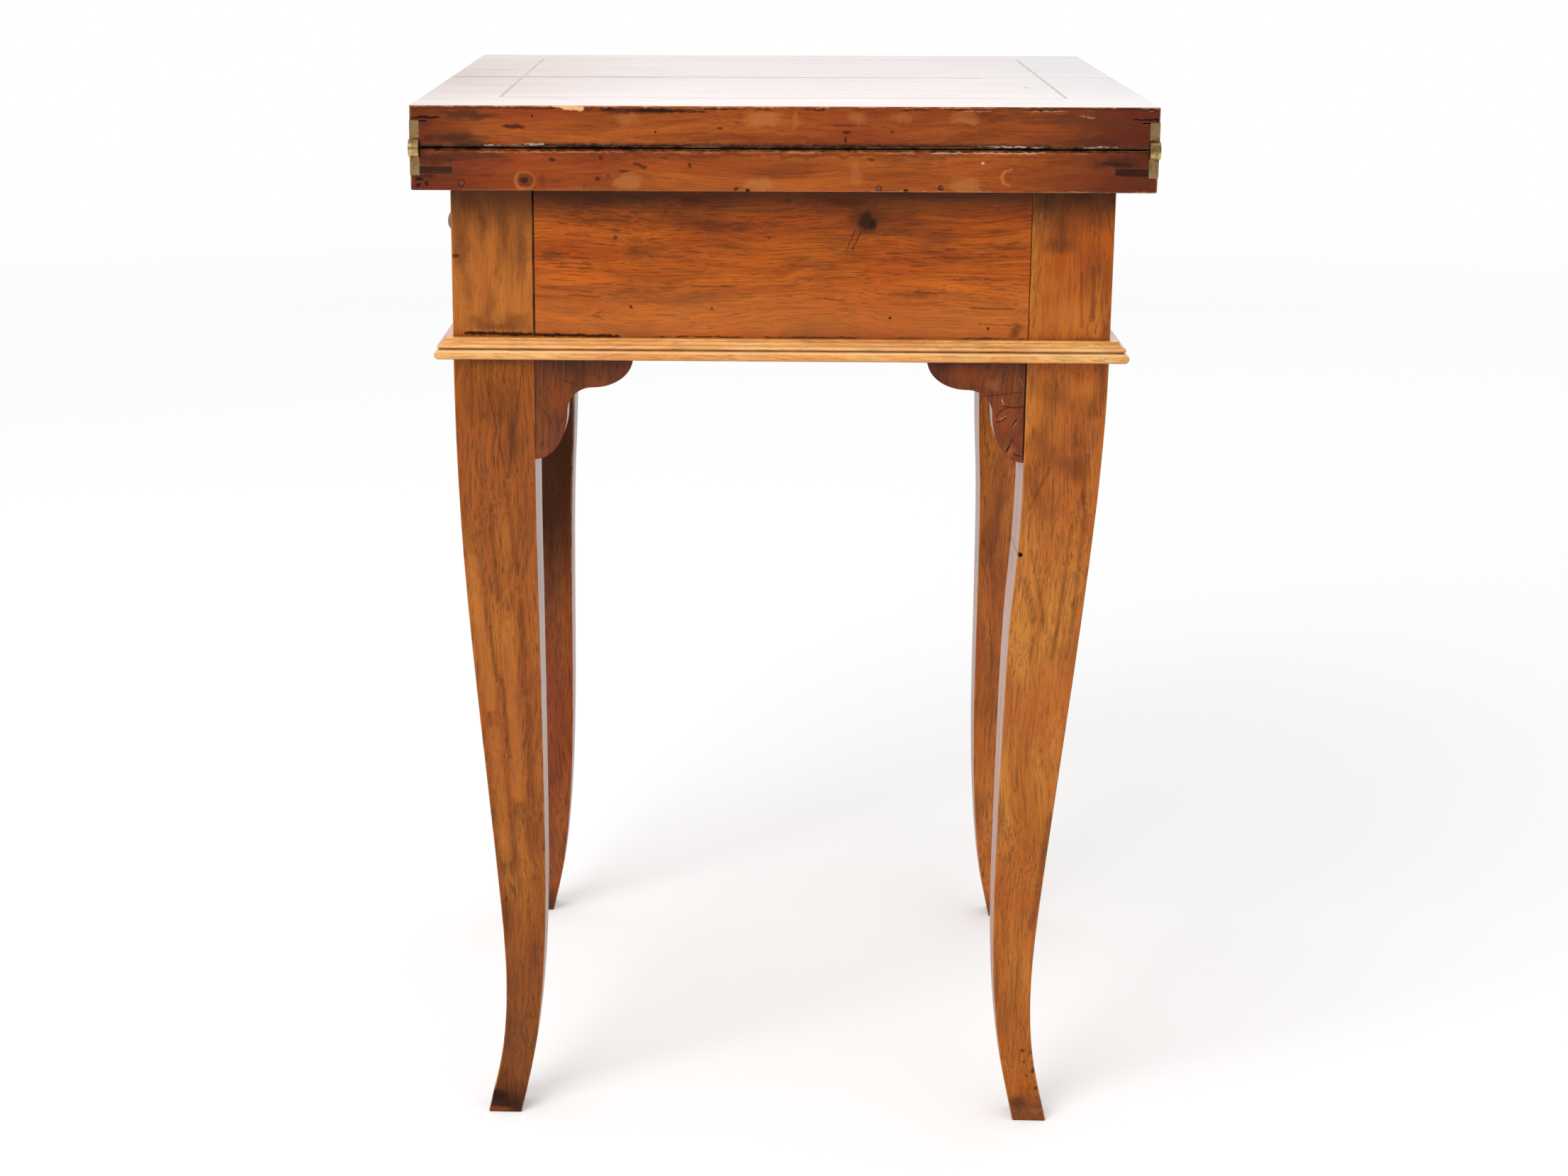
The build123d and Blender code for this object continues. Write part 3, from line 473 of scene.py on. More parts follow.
def makeWood(name, look, marks, bands):
    material, tree, shader = newMaterial(name)
    place = put(tree, "TexCoord").outputs["Object"]
    run = put(tree, "Mapping", {"Vector": place, "Location": metres(look["shift"]),
                                "Rotation": turns[look["axis"]]}).outputs["Vector"]
    grain = useGroup(tree, grainGroup, named(
        look, run, ("light", "middle", "red", "dark", "fibre", "pores", "smoke")))
    facing = useGroup(tree, facingGroup, {"Grain": axes[look["axis"]]})
    places = markPlaces(tree, place, look)
    colour = grain["Color"]
    for band in bands:
        colour = layBand(tree, places, grain, facing, colour, band)
    for paintedLine in look.get("shadeAndHighlightLines", ()):
        colour = layShadeAndHighlightLine(tree, place, colour, paintedLine)
    colour = layEnds(tree, run, facing, look, colour)
    dull = 0.0
    for mark in marks:
        colour, mask = layMark(tree, places, colour, mark)
        dull = sums(tree, "MAXIMUM", dull, mask)
    # painted shade: corners and joints darkened by the blocked ambient light, with soot
    cornerSootAndShade = useGroup(tree, cornerSootAndShadeGroup, {"Distance": surface["cornerSootAndShadeReach"]})["Mask"]
    cornerSootAndShade = times(tree, cornerSootAndShade, look["cornerSootAndShade"])
    colour = blend(tree, cornerSootAndShade, colour, shades["sootAndShade"])
    wear = useGroup(tree, wearGroup, {"Vector": place, "Radius": surface["edgeRadius"],
                                      "Breaks": surface["edgeBreaks"]})
    rubbed = times(tree, wear["Mask"], look["rubbed"])
    feed(tree, shader["Base Color"], blend(tree, rubbed, colour, look["bare"]))
    # marks, and the corner soot and painted shade, take the polish away
    rough = between(tree, grain["Polish"], *surface["polishSpan"], *look["rough"])
    rough = sums(tree, "MAXIMUM", rough, times(tree, dull, surface["markRough"]))
    feed(tree, shader["Roughness"], rough)
    kept = sums(tree, "SUBTRACT", 1.0, sums(tree, "MAXIMUM", dull, cornerSootAndShade))
    feed(tree, shader["Coat Weight"], times(tree, kept, look["coat"]))
    bump = put(tree, "Bump", {"Strength": look["raised"], "Distance": surface["bumpHeight"],
                              "Height": grain["Height"], "Normal": wear["Normal"]})
    feed(tree, shader["Normal"], bump.outputs["Normal"])
    shader["IOR"].default_value = surface["ior"]
    shader["Specular IOR Level"].default_value = surface["specular"]
    shader["Coat IOR"].default_value = surface["coatIor"]
    shader["Coat Roughness"].default_value = look["coatRough"]
    return material


torn = ("stain", "blotAndShadow", "cloud")  # the shades whose ovals get a torn outline


def onFront(level, rows):
    # ovals on a face that looks to the front: x, z, half width, half height, shade, strength, edge
    return [("patch" if shade in torn else "spot", (x, level, z), (wide, 12, high), shade,
             strength, edge)
            for x, z, wide, high, shade, strength, edge in rows]


def along(level, rows):
    # lines on the same face: x and z of both ends, shade, strength, width, and the kind where it
    # is a sharp "seam" or a broken "worn" line
    return [(kind[0] if kind else "line", (x1, level, z1), (x2, level, z2), shade, strength, width)
            for x1, z1, x2, z2, shade, strength, width, *kind in rows]


# the fronts of the leaves, the frame and the brackets, in mm
leafFace = -250
apronFace = -226
bracketFace = -224
frontEnds = [("x", -176, -250, "endRed", 0.85), ("x", 120, 256, "endRed", 0.95)]
topJoint = [
    # the first spot is painted light: the left end of the top warmer and duller, for a weaker sheen
    ("spot", (-262, 0, 752), (210, 420, 7), "honey", 0.42, 0.9),
    ("seam", (-250, 4, 750), (-90, 4, 750), "shadow", 0.9, 2.8),
    ("seam", (-250, 4, 750), (150, 4, 750), "dent", 0.9, 1.7),
    ("seam", (-250, 4, 750), (250, 4, 750), "dent", 0.6, 0.8),
    ("line", (168, -91, 750), (184, -88, 750), "dent", 0.6, 0.7),
    ("spot", (176, -87, 750), (2.2, 2.2, 4), "sootAndShade", 0.8, 0.4),
]
# the blot band is painted shadow: the top of the apron darkened under the overhanging leaf
apronBands = [("z", 668, 692, "blotAndShadow", 0.95), ("z", 640, 596, "honey", 0.35)]
bracketBands = [("z", 566, 578, "shadow", 0.6)]
legBands = [
    ("z", 230, 40, "brown", 0.45), ("z", 60, 20, "brown", 0.3), ("z", 26, 6, "shadow", 0.9),
    # the blot band paints the shadow under the top onto the post
    ("z", 588, 598, "honey", 0.42), ("z", 652, 692, "blotAndShadow", 0.85),
]
# the blot band paints the shadow under the top onto the post
rightBands = [("z", 27, 8, "tip", 0.75), ("z", 660, 692, "blotAndShadow", 0.95)]
# the brown band paints the shade under the table onto the top of the back-left leg
hindBands = [("z", 300, 480, "brown", 0.4), ("z", 30, 5, "foot", 0.8)]
upperMarks = onFront(leafFace, [
    (-103, 741, 11, 7.5, "stain", 0.5, 0.6), (-14, 742, 15, 7, "stain", 0.68, 0.55),
    (9, 742, 4, 8, "stain", 0.42, 0.6), (50, 742, 7, 6, "stain", 0.5, 0.6),
    (79, 743, 9.5, 5, "stain", 0.45, 0.6), (121, 742.5, 14, 6, "stain", 0.68, 0.55),
    (-212, 744, 26, 5, "blotAndShadow", 0.7, 0.7), (-220, 729, 26, 6, "blotAndShadow", 0.75, 0.8),
    (-240, 739, 8, 6, "endRed", 0.7, 0.8), (-206, 724.8, 26, 2.6, "blotAndShadow", 0.7, 0.7),
    (150, 744, 60, 4, "cloud", 0.5, 0.8), (216, 738, 40, 9, "cloud", 0.5, 0.9),
    (196, 742, 40, 6, "cloud", 0.6, 0.8), (206, 727, 30, 5, "blotAndShadow", 0.5, 0.8),
    (-60, 729, 60, 4, "cloud", 0.3, 0.8), (20, 728, 30, 4, "cloud", 0.35, 0.8),
    (-92, 746.8, 40, 2.6, "smoke", 0.8, 0.6), (-181, 736.3, 8, 2, "dent", 0.85, 0.4),
    (-174, 736.1, 3.5, 1.6, "sootAndShade", 0.6, 0.5), (-167.4, 743.1, 1.1, 1.1, "sootAndShade", 0.9, 0.4),
    (-84.8, 732.7, 0.9, 0.9, "sootAndShade", 0.9, 0.4), (-42, 735.3, 3, 1.1, "dent", 0.7, 0.5),
    (42.6, 733, 3.4, 1.6, "dent", 0.8, 0.4), (41.9, 727.8, 1.2, 2.6, "sootAndShade", 0.7, 0.4),
    (72.6, 733.4, 1.6, 1.2, "dent", 0.8, 0.4), (-237, 728, 5, 3, "endRed", 0.7, 0.6),
]) + along(leafFace, [
    (34, 737.6, 58, 737.2, "dent", 0.5, 0.8), (196, 744.7, 206.5, 743.1, "scratch", 0.7, 0.55),
    # painted shade: dark bands at the gap between the leaves, black lines in the hinge notches
    (-170, 721.6, 175, 721.6, "shadow", 0.85, 5.4), (-250, 721.2, 250, 721.2, "sootAndShade", 0.98, 4.2),
    (-250, 742.1, -230, 742.1, "sootAndShade", 0.95, 1.0), (232, 742, 250, 742, "sootAndShade", 0.95, 1.0),
    (-226, 729.4, -196, 729, "smoke", 0.35, 1.6), (-212, 743.6, -190, 743.4, "smoke", 0.35, 1.1),
    (-200, 723.6, -165, 723.4, "fleckAndGlint", 0.9, 0.8, "worn"),
    (-172, 724.6, -160, 724.6, "fleckAndGlint", 0.9, 1.0, "worn"),
    (-60, 723.8, -25, 723.6, "plug", 0.7, 0.9, "worn"),
    (120, 724, 180, 723.4, "fleckAndGlint", 0.8, 0.9, "worn"),
    (200, 723.4, 222, 723.4, "fleckAndGlint", 0.9, 0.8, "worn"),
    (-250, 748.4, -152, 748.4, "shadow", 0.8, 0.8),
    (-132, 747.6, -52, 747, "shadow", 0.95, 1.7, "worn"),
    (-52, 748, 250, 748, "shadow", 0.8, 1.0, "worn"),
    (-250, 749.8, 250, 749.8, "arris", 0.8, 1.0, "worn"),
    (-154, 750, -140, 749.4, "raw", 0.97, 1.3), (-146, 749.2, -134.5, 748.2, "raw", 0.97, 2.3),
    (-143, 748.6, -135, 747.8, "scratch", 0.6, 0.5),
    (120, 747.3, 244, 747.3, "scratch", 0.7, 0.6, "worn"), (150, 749, 244, 749, "shadow", 0.6, 1.3),
])
lowerMarks = onFront(leafFace, [
    (-103.5, 699.5, 12, 8, "stain", 0.7, 0.55), (-15, 698, 14, 7, "stain", 0.7, 0.55),
    (49, 706, 5.5, 12, "stain", 0.42, 0.6), (121, 698, 15, 7, "stain", 0.68, 0.55),
    (-173, 700, 8.4, 7.6, "ring", 0.8, 0.3), (-172.4, 700.4, 7, 6, "knot", 0.9, 0.35),
    (-173, 700.4, 3.8, 3, "shadow", 0.8, 0.6), (-161, 700, 4, 8, "smoke", 0.35, 0.8),
    (-215.6, 698.2, 3.2, 3.2, "dent", 0.8, 0.3), (-215.4, 698.4, 2, 2, "plug", 0.9, 0.4),
    (64.8, 695.8, 2.6, 2.6, "dent", 0.8, 0.3), (64.6, 695.9, 1.6, 1.6, "plug", 0.95, 0.4),
    (83, 694.4, 1.9, 1.6, "sootAndShade", 0.97, 0.2), (105.8, 696.3, 2.4, 2.4, "dent", 0.85, 0.3),
    (106.2, 696.6, 1.2, 1.2, "plug", 0.9, 0.4), (-23, 694.3, 1.6, 1.3, "sootAndShade", 0.95, 0.3),
    (150.5, 703.5, 3.6, 4.4, "knot", 0.3, 0.8), (-154.4, 714.5, 2.6, 1.8, "dent", 0.8, 0.4),
    (-121.5, 715.5, 2.2, 2.2, "dent", 0.7, 0.5), (-105.9, 706.7, 4.6, 1.3, "dent", 0.75, 0.4),
    (-123.8, 701.4, 2, 2, "dent", 0.8, 0.4), (-116.8, 703.6, 1.1, 1.1, "dent", 0.8, 0.4),
    (-62, 710.6, 1.8, 2.3, "dent", 0.75, 0.4), (-30.8, 695.4, 2.2, 2, "dent", 0.8, 0.4),
    (-222.5, 713.7, 1.8, 1.2, "dent", 0.8, 0.4), (58.9, 715, 3.4, 1.3, "dent", 0.7, 0.5),
    (133.6, 713, 1.3, 1, "fleckAndGlint", 0.8, 0.5), (-243.5, 700.8, 3.6, 1.3, "sootAndShade", 0.85, 0.4),
    (-244.6, 696.9, 1.9, 2, "sootAndShade", 0.85, 0.5), (-239, 698, 1.3, 1.9, "sootAndShade", 0.85, 0.4),
    (-232, 714, 18, 5, "blotAndShadow", 0.6, 0.8), (222, 714, 26, 5, "blotAndShadow", 0.75, 0.8),
    (236, 700, 20, 8, "cloud", 0.4, 0.9), (0, 718, 250, 2.4, "cloud", 0.55, 0.7),
    (-210, 716, 40, 5, "blotAndShadow", 0.6, 0.8), (90, 716, 40, 4, "cloud", 0.4, 0.8),
    (-225, 705, 24, 4, "cloud", 0.5, 0.8),
]) + along(leafFace, [
    (152.5, 709.2, 148.2, 707.4, "ring", 0.8, 1.2), (148.2, 707.4, 146, 703.5, "ring", 0.95, 1.6),
    (146, 703.5, 148, 699.6, "ring", 0.95, 1.6), (148, 699.6, 152, 698, "ring", 0.8, 1.2),
    # the long soot line is painted shade along the gap between the leaves
    (-99, 711.8, -91.5, 709.4, "dent", 0.75, 1.8), (-250, 722, 250, 722, "sootAndShade", 0.95, 2.4),
    (-250, 719.3, 250, 719.3, "arris", 0.4, 0.7, "worn"),
    (100, 719.6, 190, 719.6, "fleckAndGlint", 0.5, 0.6, "worn"),
    (205, 719.4, 236, 719.4, "fleckAndGlint", 0.7, 0.7, "worn"),
    (60, 693.8, 250, 693.8, "arris", 0.5, 0.8, "worn"),
    (-250, 703, -234, 703.2, "shadow", 0.7, 1.0), (214, 713.2, 232, 711.8, "shadow", 0.6, 1.8),
    (-238, 700, -214, 701.5, "dent", 0.3, 0.6), (-133, 695, -133, 698, "sootAndShade", 0.7, 0.5),
    (-10, 694, -10, 695.6, "sootAndShade", 0.7, 0.5),
])
apronMarks = onFront(apronFace, [
    (57, 672, 17, 13, "cloud", 0.75, 0.8), (58.7, 670.5, 7.5, 8.5, "blotAndShadow", 0.95, 0.55),
    (62, 668.5, 3.4, 4.5, "shadow", 0.7, 0.6), (44, 684, 20, 6, "cloud", 0.8, 0.8),
    (-120, 670, 40, 3, "cloud", 0.5, 0.8), (-40, 668, 50, 4, "cloud", 0.5, 0.8),
    (150, 655, 26, 4, "cloud", 0.5, 0.8), (162, 597, 8, 8, "cloud", 0.7, 0.8),
    (-158, 645, 14, 6, "cloud", 0.45, 0.8), (-100, 621, 40, 4, "cloud", 0.4, 0.8),
    (100, 622, 34, 4, "cloud", 0.45, 0.8), (-60, 684, 12, 6, "smoke", 0.5, 0.8),
    (-140, 686, 60, 13, "blotAndShadow", 0.5, 0.8), (-113.5, 659.2, 1.9, 2.4, "dent", 0.75, 0.4),
    (-103, 611.2, 1.5, 1.5, "dent", 0.85, 0.4), (-47, 611, 1.1, 1.1, "dent", 0.7, 0.4),
    (-8, 659, 0.9, 0.9, "dent", 0.7, 0.4), (75.2, 604.9, 1.1, 1.1, "sootAndShade", 0.95, 0.3),
    (142.5, 597.8, 1.2, 1.2, "sootAndShade", 0.9, 0.3), (-152, 591.4, 1.4, 1.2, "sootAndShade", 0.95, 0.3),
]) + along(apronFace, [
    (50, 665, 45, 652, "dent", 0.75, 0.7), (54, 664, 48.5, 651.5, "dent", 0.7, 0.7),
    (-147, 660.6, -131, 660.9, "smoke", 0.5, 1.1), (-163, 648.2, -145, 648, "smoke", 0.5, 0.9),
    (-151, 641, -131, 641.3, "smoke", 0.5, 0.9), (-130, 627.4, -114, 627.6, "smoke", 0.45, 0.8),
    (-146, 619, -125, 618.7, "smoke", 0.5, 0.9), (-122, 609, -129, 605, "dent", 0.65, 0.5),
    (-129, 605, -121, 602.6, "dent", 0.65, 0.5), (-90, 646, -66, 646.4, "smoke", 0.4, 0.8),
    (-60, 626, -30, 625.6, "smoke", 0.4, 0.8), (92, 622.6, 106, 622, "smoke", 0.55, 0.9),
    (118, 632, 152, 631, "smoke", 0.5, 0.9), (130, 612, 160, 611.4, "smoke", 0.5, 1.0),
    (30, 617.6, 44, 617, "smoke", 0.5, 0.8), (64, 645, 92, 644.4, "smoke", 0.4, 0.8),
    (0, 640, 24, 640.4, "smoke", 0.35, 0.8), (136, 600.8, 164, 600, "smoke", 0.5, 0.8),
    (-169.6, 575, -169.6, 694, "sootAndShade", 0.95, 1.1, "seam"),
    (169.9, 575, 169.9, 694, "sootAndShade", 0.75, 0.6, "seam"),
    (-170, 591.8, -112, 591, "shadow", 0.95, 1.6),
    (-112, 590.8, 170, 590.8, "smoke", 0.8, 1.0, "worn"),
])
bracketMarks = onFront(bracketFace, [
    (156, 536, 14, 18, "wood", 0.5, 0.8), (130, 566, 26, 8, "wood", 0.35, 0.8),
    (160, 512, 6, 8, "honey", 0.3, 0.9), (-152, 548, 18, 20, "wood", 0.3, 0.9),
    (148, 560, 8, 6, "stain", 0.35, 0.7), (-136, 566, 22, 6, "cloud", 0.4, 0.8),
]) + along(bracketFace, [
    # carved dents, painted only: painted shadow in the hollows, painted highlights (fleck) on the
    # rims
    (169.6, 506, 169.6, 576, "sootAndShade", 0.9, 0.9, "seam"),
    (140.4, 549.6, 153, 551.7, "dent", 0.6, 0.7), (153, 551.7, 165.7, 553.3, "dent", 0.65, 0.7),
    (153.6, 549.2, 153.5, 546.7, "fleckAndGlint", 0.4, 0.6),
    (153.5, 546.7, 154.7, 545.2, "fleckAndGlint", 0.35, 0.6),
    (155.2, 543.7, 161.2, 542.3, "shadow", 0.75, 0.8),
    (161.2, 542.3, 167, 542.8, "shadow", 0.75, 0.8), (167, 542.8, 169.4, 544.3, "shadow", 0.7, 0.8),
    (150.1, 535.7, 153.4, 540.2, "shadow", 0.75, 0.8),
    (153.4, 540.2, 157.3, 542.2, "shadow", 0.7, 0.8),
    (150.7, 531.7, 153.6, 533.2, "shadow", 0.85, 0.9),
    (153.6, 533.2, 156.5, 535.2, "shadow", 0.85, 0.9),
    (152.6, 534, 156.8, 536.6, "fleckAndGlint", 0.3, 0.6),
    (161.1, 529.3, 162.5, 530.8, "shadow", 0.85, 0.9),
    (162.5, 530.8, 163.9, 533.8, "shadow", 0.85, 0.9),
    (161.8, 528.8, 163.6, 531.2, "fleckAndGlint", 0.35, 0.6),
    (157.6, 511.6, 160.1, 515.2, "shadow", 0.95, 1.0),
    (160.1, 515.2, 161.1, 519.7, "shadow", 0.85, 0.9),
    (163.7, 509.7, 167.2, 508.2, "shadow", 0.8, 1.0),
    (165.4, 562.7, 168, 557.8, "fleckAndGlint", 0.15, 0.6), (-150, 560, -140, 556, "dent", 0.5, 0.8),
    (-165, 540, -158, 528, "dent", 0.5, 0.9),
])
leftLegMarks = onFront(apronFace, [
    (-200, 150, 11, 26, "brown", 0.6, 0.8), (-203, 96, 10, 14, "brown", 0.6, 0.8),
    (-195, 200, 12, 14, "brown", 0.4, 0.8), (-223, 646, 4, 1.8, "dent", 0.8, 0.5),
    (-195, 597, 26, 4, "shadow", 0.45, 0.9), (-206, 12, 11, 7, "shadow", 0.8, 0.6),
    (-206, 2.4, 17, 2.2, "wood", 0.55, 0.6), (-220, 9, 3, 10, "wood", 0.45, 0.7),
    (-222, 655, 6, 30, "smoke", 0.4, 0.8), (-186, 520, 4, 26, "brown", 0.5, 0.7),
    (-194, 536, 3, 12, "brown", 0.5, 0.7), (-198, 577, 34, 9, "shadow", 0.5, 0.8),
    (-198, 545, 30, 30, "brown", 0.35, 0.9), (-184, 650, 16, 26, "cloud", 0.4, 0.9),
    (-218, 650, 6, 44, "cloud", 0.55, 0.9), (-214, 684, 12, 9, "blotAndShadow", 0.35, 0.9),
    (-205, 668, 5, 22, "cloud", 0.6, 0.9), (-190, 664, 5, 28, "cloud", 0.55, 0.9),
    (-177, 650, 5, 38, "cloud", 0.5, 0.9), (-200, 612, 6, 20, "cloud", 0.4, 0.9),
    (-184, 600, 14, 9, "cloud", 0.55, 0.9), (-208, 600, 14, 7, "cloud", 0.45, 0.9),
    (-214, 620, 5, 14, "cloud", 0.4, 0.9), (-194, 640, 4, 22, "cloud", 0.35, 0.9),
]) + along(apronFace, [
    # the long honey lines are golden streaks of the figure, with a painted highlight down the left
    # side
    (-216, 430, -205, 320, "honey", 0.4, 6), (-192, 380, -186, 250, "honey", 0.3, 7),
    (-203, 300, -196, 200, "honey", 0.3, 6), (-202, 470, -198, 400, "brown", 0.4, 2.4),
    (-190, 480, -184, 420, "brown", 0.4, 2.6), (-182, 400, -180, 330, "brown", 0.4, 3),
    (-204, 380, -200, 340, "brown", 0.45, 1.8), (-196, 340, -192, 280, "brown", 0.4, 2),
    (-178, 320, -177, 250, "brown", 0.35, 3), (-208, 250, -206, 190, "brown", 0.4, 2),
    (-217, 592.4, -170, 592, "shadow", 0.95, 1.7), (-204, 560, -190, 490, "dent", 0.45, 0.9),
    (-178, 570, -189, 490, "dent", 0.4, 0.9),
])
rightLegMarks = onFront(apronFace, [
    (198, 642, 40, 56, "red", 0.4, 0.9), (186, 668, 24, 24, "cloud", 0.45, 0.9),
    (212, 640, 14, 20, "cloud", 0.35, 0.9), (196, 606, 30, 22, "honey", 0.4, 0.9),
    (184, 628, 14, 12, "honey", 0.25, 0.9), (204, 556, 22, 10, "honey", 0.3, 0.9),
    (180, 545, 10, 22, "honey", 0.25, 0.9), (190, 506, 18, 18, "cloud", 0.35, 0.9),
    (196, 300, 24, 90, "honey", 0.25, 0.9), (190, 655, 18, 8, "brown", 0.5, 0.8),
    (207, 500, 9, 16, "brown", 0.5, 0.8), (187, 52, 2.2, 1.8, "shadow", 0.7, 0.6),
    (194, 50, 1.6, 1.6, "shadow", 0.7, 0.6), (196, 44, 2.4, 1.6, "shadow", 0.8, 0.5),
    (188, 43, 1.8, 1.4, "shadow", 0.6, 0.6), (195, 37, 1.8, 2.6, "shadow", 0.8, 0.5),
    (199, 31, 2.2, 1.8, "shadow", 0.8, 0.5), (190, 33, 1.4, 1.4, "foot", 0.7, 0.6),
    (197, 24, 2.4, 2, "shadow", 0.7, 0.6), (184, 13, 9, 6, "tip", 0.8, 0.7),
    (198, 9, 8, 3, "stain", 0.35, 0.7), (190, 552, 16, 12, "cloud", 0.4, 0.9),
    (205, 520, 14, 14, "cloud", 0.32, 0.9), (180, 522, 8, 12, "cloud", 0.32, 0.9),
    (191, 476, 9, 22, "cloud", 0.28, 0.9), (180, 683, 12, 11, "blotAndShadow", 0.5, 0.9),
    (213, 676, 12, 16, "cloud", 0.35, 0.9), (216, 540, 7, 8, "brown", 0.45, 0.8),
    (222, 560, 3, 26, "brown", 0.4, 0.8), (210, 588, 16, 6, "shadow", 0.5, 0.8),
    (222, 628, 5, 26, "brown", 0.35, 0.8), (169.8, 437.3, 1.9, 2.1, "sootAndShade", 1.0, 0.3),
]) + along(apronFace, [
    (172, 500, 186, 466, "brown", 0.28, 5), (175, 519, 206, 499, "brown", 0.15, 9),
    (214, 509, 212, 475, "brown", 0.4, 3), (173, 419, 181, 390, "brown", 0.3, 5),
    (213, 640, 213, 604, "cloud", 0.5, 2.2), (205, 636, 206, 600, "cloud", 0.4, 1.6),
    (190, 690, 191, 650, "cloud", 0.4, 2), (214, 470, 208, 380, "cloud", 0.4, 2.4),
    (205, 460, 196, 360, "brown", 0.35, 2), (200, 240, 190, 150, "cloud", 0.4, 3),
    (175, 470, 188, 500, "brown", 0.4, 1.6), (178, 440, 190, 380, "brown", 0.3, 2),
])
# painted shadow on the front face of the back-left leg, which stands under the table
hindLegMarks = [("spot", (-196, 172, 425), (60, 30, 200), "shadow", 0.88, 0.75)]


def brackets(*sides):
    return ["bracket_%s_%s" % (side, turn) for side in sides for turn in ("first", "second")]


# each wood: look, shift of its figure in mm, axis of the grain, marks, bands, nodes that wear it
woods = {
    "upperFrontBoard": (leafLook, (0, 0, 0), "x", upperMarks + topJoint, frontEnds,
                        ["upper_leaf_front_board"]),
    "upperBackBoard": (leafLook, (410, 130, 50), "x", topJoint, frontEnds,
                       ["upper_leaf_back_board"]),
    "lowerFrontBoard": (leafLook, (230, 90, 20), "x", lowerMarks, frontEnds,
                        ["lower_leaf_front_board"]),
    "lowerBackBoard": (leafLook, (800, 30, 70), "x", (), frontEnds, ["lower_leaf_back_board"]),
    "apronFront": (frameLook, (120, 40, 300), "x", apronMarks, apronBands, ["apron_front"]),
    "apronBack": (frameLook, (640, 10, 80), "x", (), apronBands, ["apron_back"]),
    "apronRight": (frameLook, (310, 70, 10), "y", (), apronBands, ["apron_right"]),
    # its blot band is painted shadow under the top
    "drawerFront": (frameLook, (510, 20, 90), "y", (), [("z", 660, 702, "blotAndShadow", 0.7)],
                    ["drawer_front"]),
    "frameInside": (drawerLook, (20, 60, 40), "x", (), (),
                    ["drawer_runner_front", "drawer_runner_back", "drawer_guide_front",
                     "drawer_guide_back", "drawer_kicker_front", "drawer_kicker_back",
                     "stop_peg"]),
    "frameInsideAcross": (drawerLook, (70, 10, 90), "y", (), (),
                          ["drawer_rail_top", "pivot_rail"]),
    "railAcross": (frameLook, (260, 30, 140), "y", (), (), ["drawer_rail_bottom"]),
    "mouldingAlong": (mouldingLook, (0, 0, 0), "x", (), (), ["moulding_front", "moulding_back"]),
    "mouldingAcross": (mouldingLook, (90, 40, 30), "y", (), (),
                       ["moulding_right", "moulding_left"]),
    "bracketAlong": (bracketLook, (0, 40, 0), "z", bracketMarks, bracketBands,
                     brackets("front", "back")),
    "bracketAcross": (bracketLook, (30, 60, 20), "z", (), bracketBands,
                      brackets("right", "left")),
    "edgeKeyWood": ({**darkLook, "coat": 0.2}, (15, 25, 5), "x", (), (), ["edge_keys"]),
    "stringingWood": ({**darkLook, "coat": 0.7}, (5, 5, 5), "x", (), (), ["top_stringing"]),
    "drawerAlong": (drawerLook, (55, 35, 15), "x", (), (),
                    ["drawer_side_front", "drawer_side_back"]),
    "drawerAcross": (drawerLook, (25, 75, 35), "y", (), (), ["drawer_back", "drawer_bottom"]),
}
backRightLook = {**rightLook, "light": srgb(208, 120, 46), "middle": srgb(180, 94, 28)}
for leg, look, shift, marks, bands in (
        ("leg_front_left", {**legLook, "front": apronFace}, (0, 0, 0), leftLegMarks, legBands),
        ("leg_front_right", {**rightLook, "front": apronFace}, (140, 60, 90), rightLegMarks,
         rightBands),
        ("leg_back_right", backRightLook, (60, 210, 40), (),
         [("z", 400, 600, "brown", 0.3)] + rightBands),
        ("leg_back_left", hindLook, (90, 20, 160), hindLegMarks, hindBands)):
    woods[leg] = (look, shift, "z", marks, bands, [leg])


def dress(names, material):
    for name in names:
        mesh = nodes[name].data
        mesh.materials.clear()
        mesh.materials.append(material)


for name, (look, shift, axis, marks, bands, wearers) in woods.items():
    dress(wearers, makeWood(name, {**look, "shift": shift, "axis": axis}, marks, bands))
print("boards dressed")


metals = {
    "agedBrass": {"bright": srgb(222, 188, 130), "dull": srgb(150, 116, 70),
                  "stain": srgb(84, 58, 34), "patches": 170.0, "rough": (0.28, 0.5)},
    "screwBrass": {"bright": srgb(178, 142, 88), "dull": srgb(122, 92, 54),
                   "stain": srgb(64, 44, 26), "patches": 260.0, "rough": (0.3, 0.5)},
    "darkBrass": {"bright": srgb(132, 106, 64), "dull": srgb(80, 60, 36),
                  "stain": srgb(42, 30, 20), "patches": 150.0, "rough": (0.3, 0.5)},
    "dullSteel": {"bright": srgb(176, 172, 166), "dull": srgb(124, 118, 112),
                  "stain": srgb(74, 58, 48), "patches": 120.0, "rough": (0.35, 0.6)},
}
metalSurface = {"edgeRadius": 0.0004, "edgeBreaks": 300.0, "rubbed": 0.5,
                "patchSpan": (0.35, 0.65), "raised": 0.3, "bumpHeight": 0.0001}


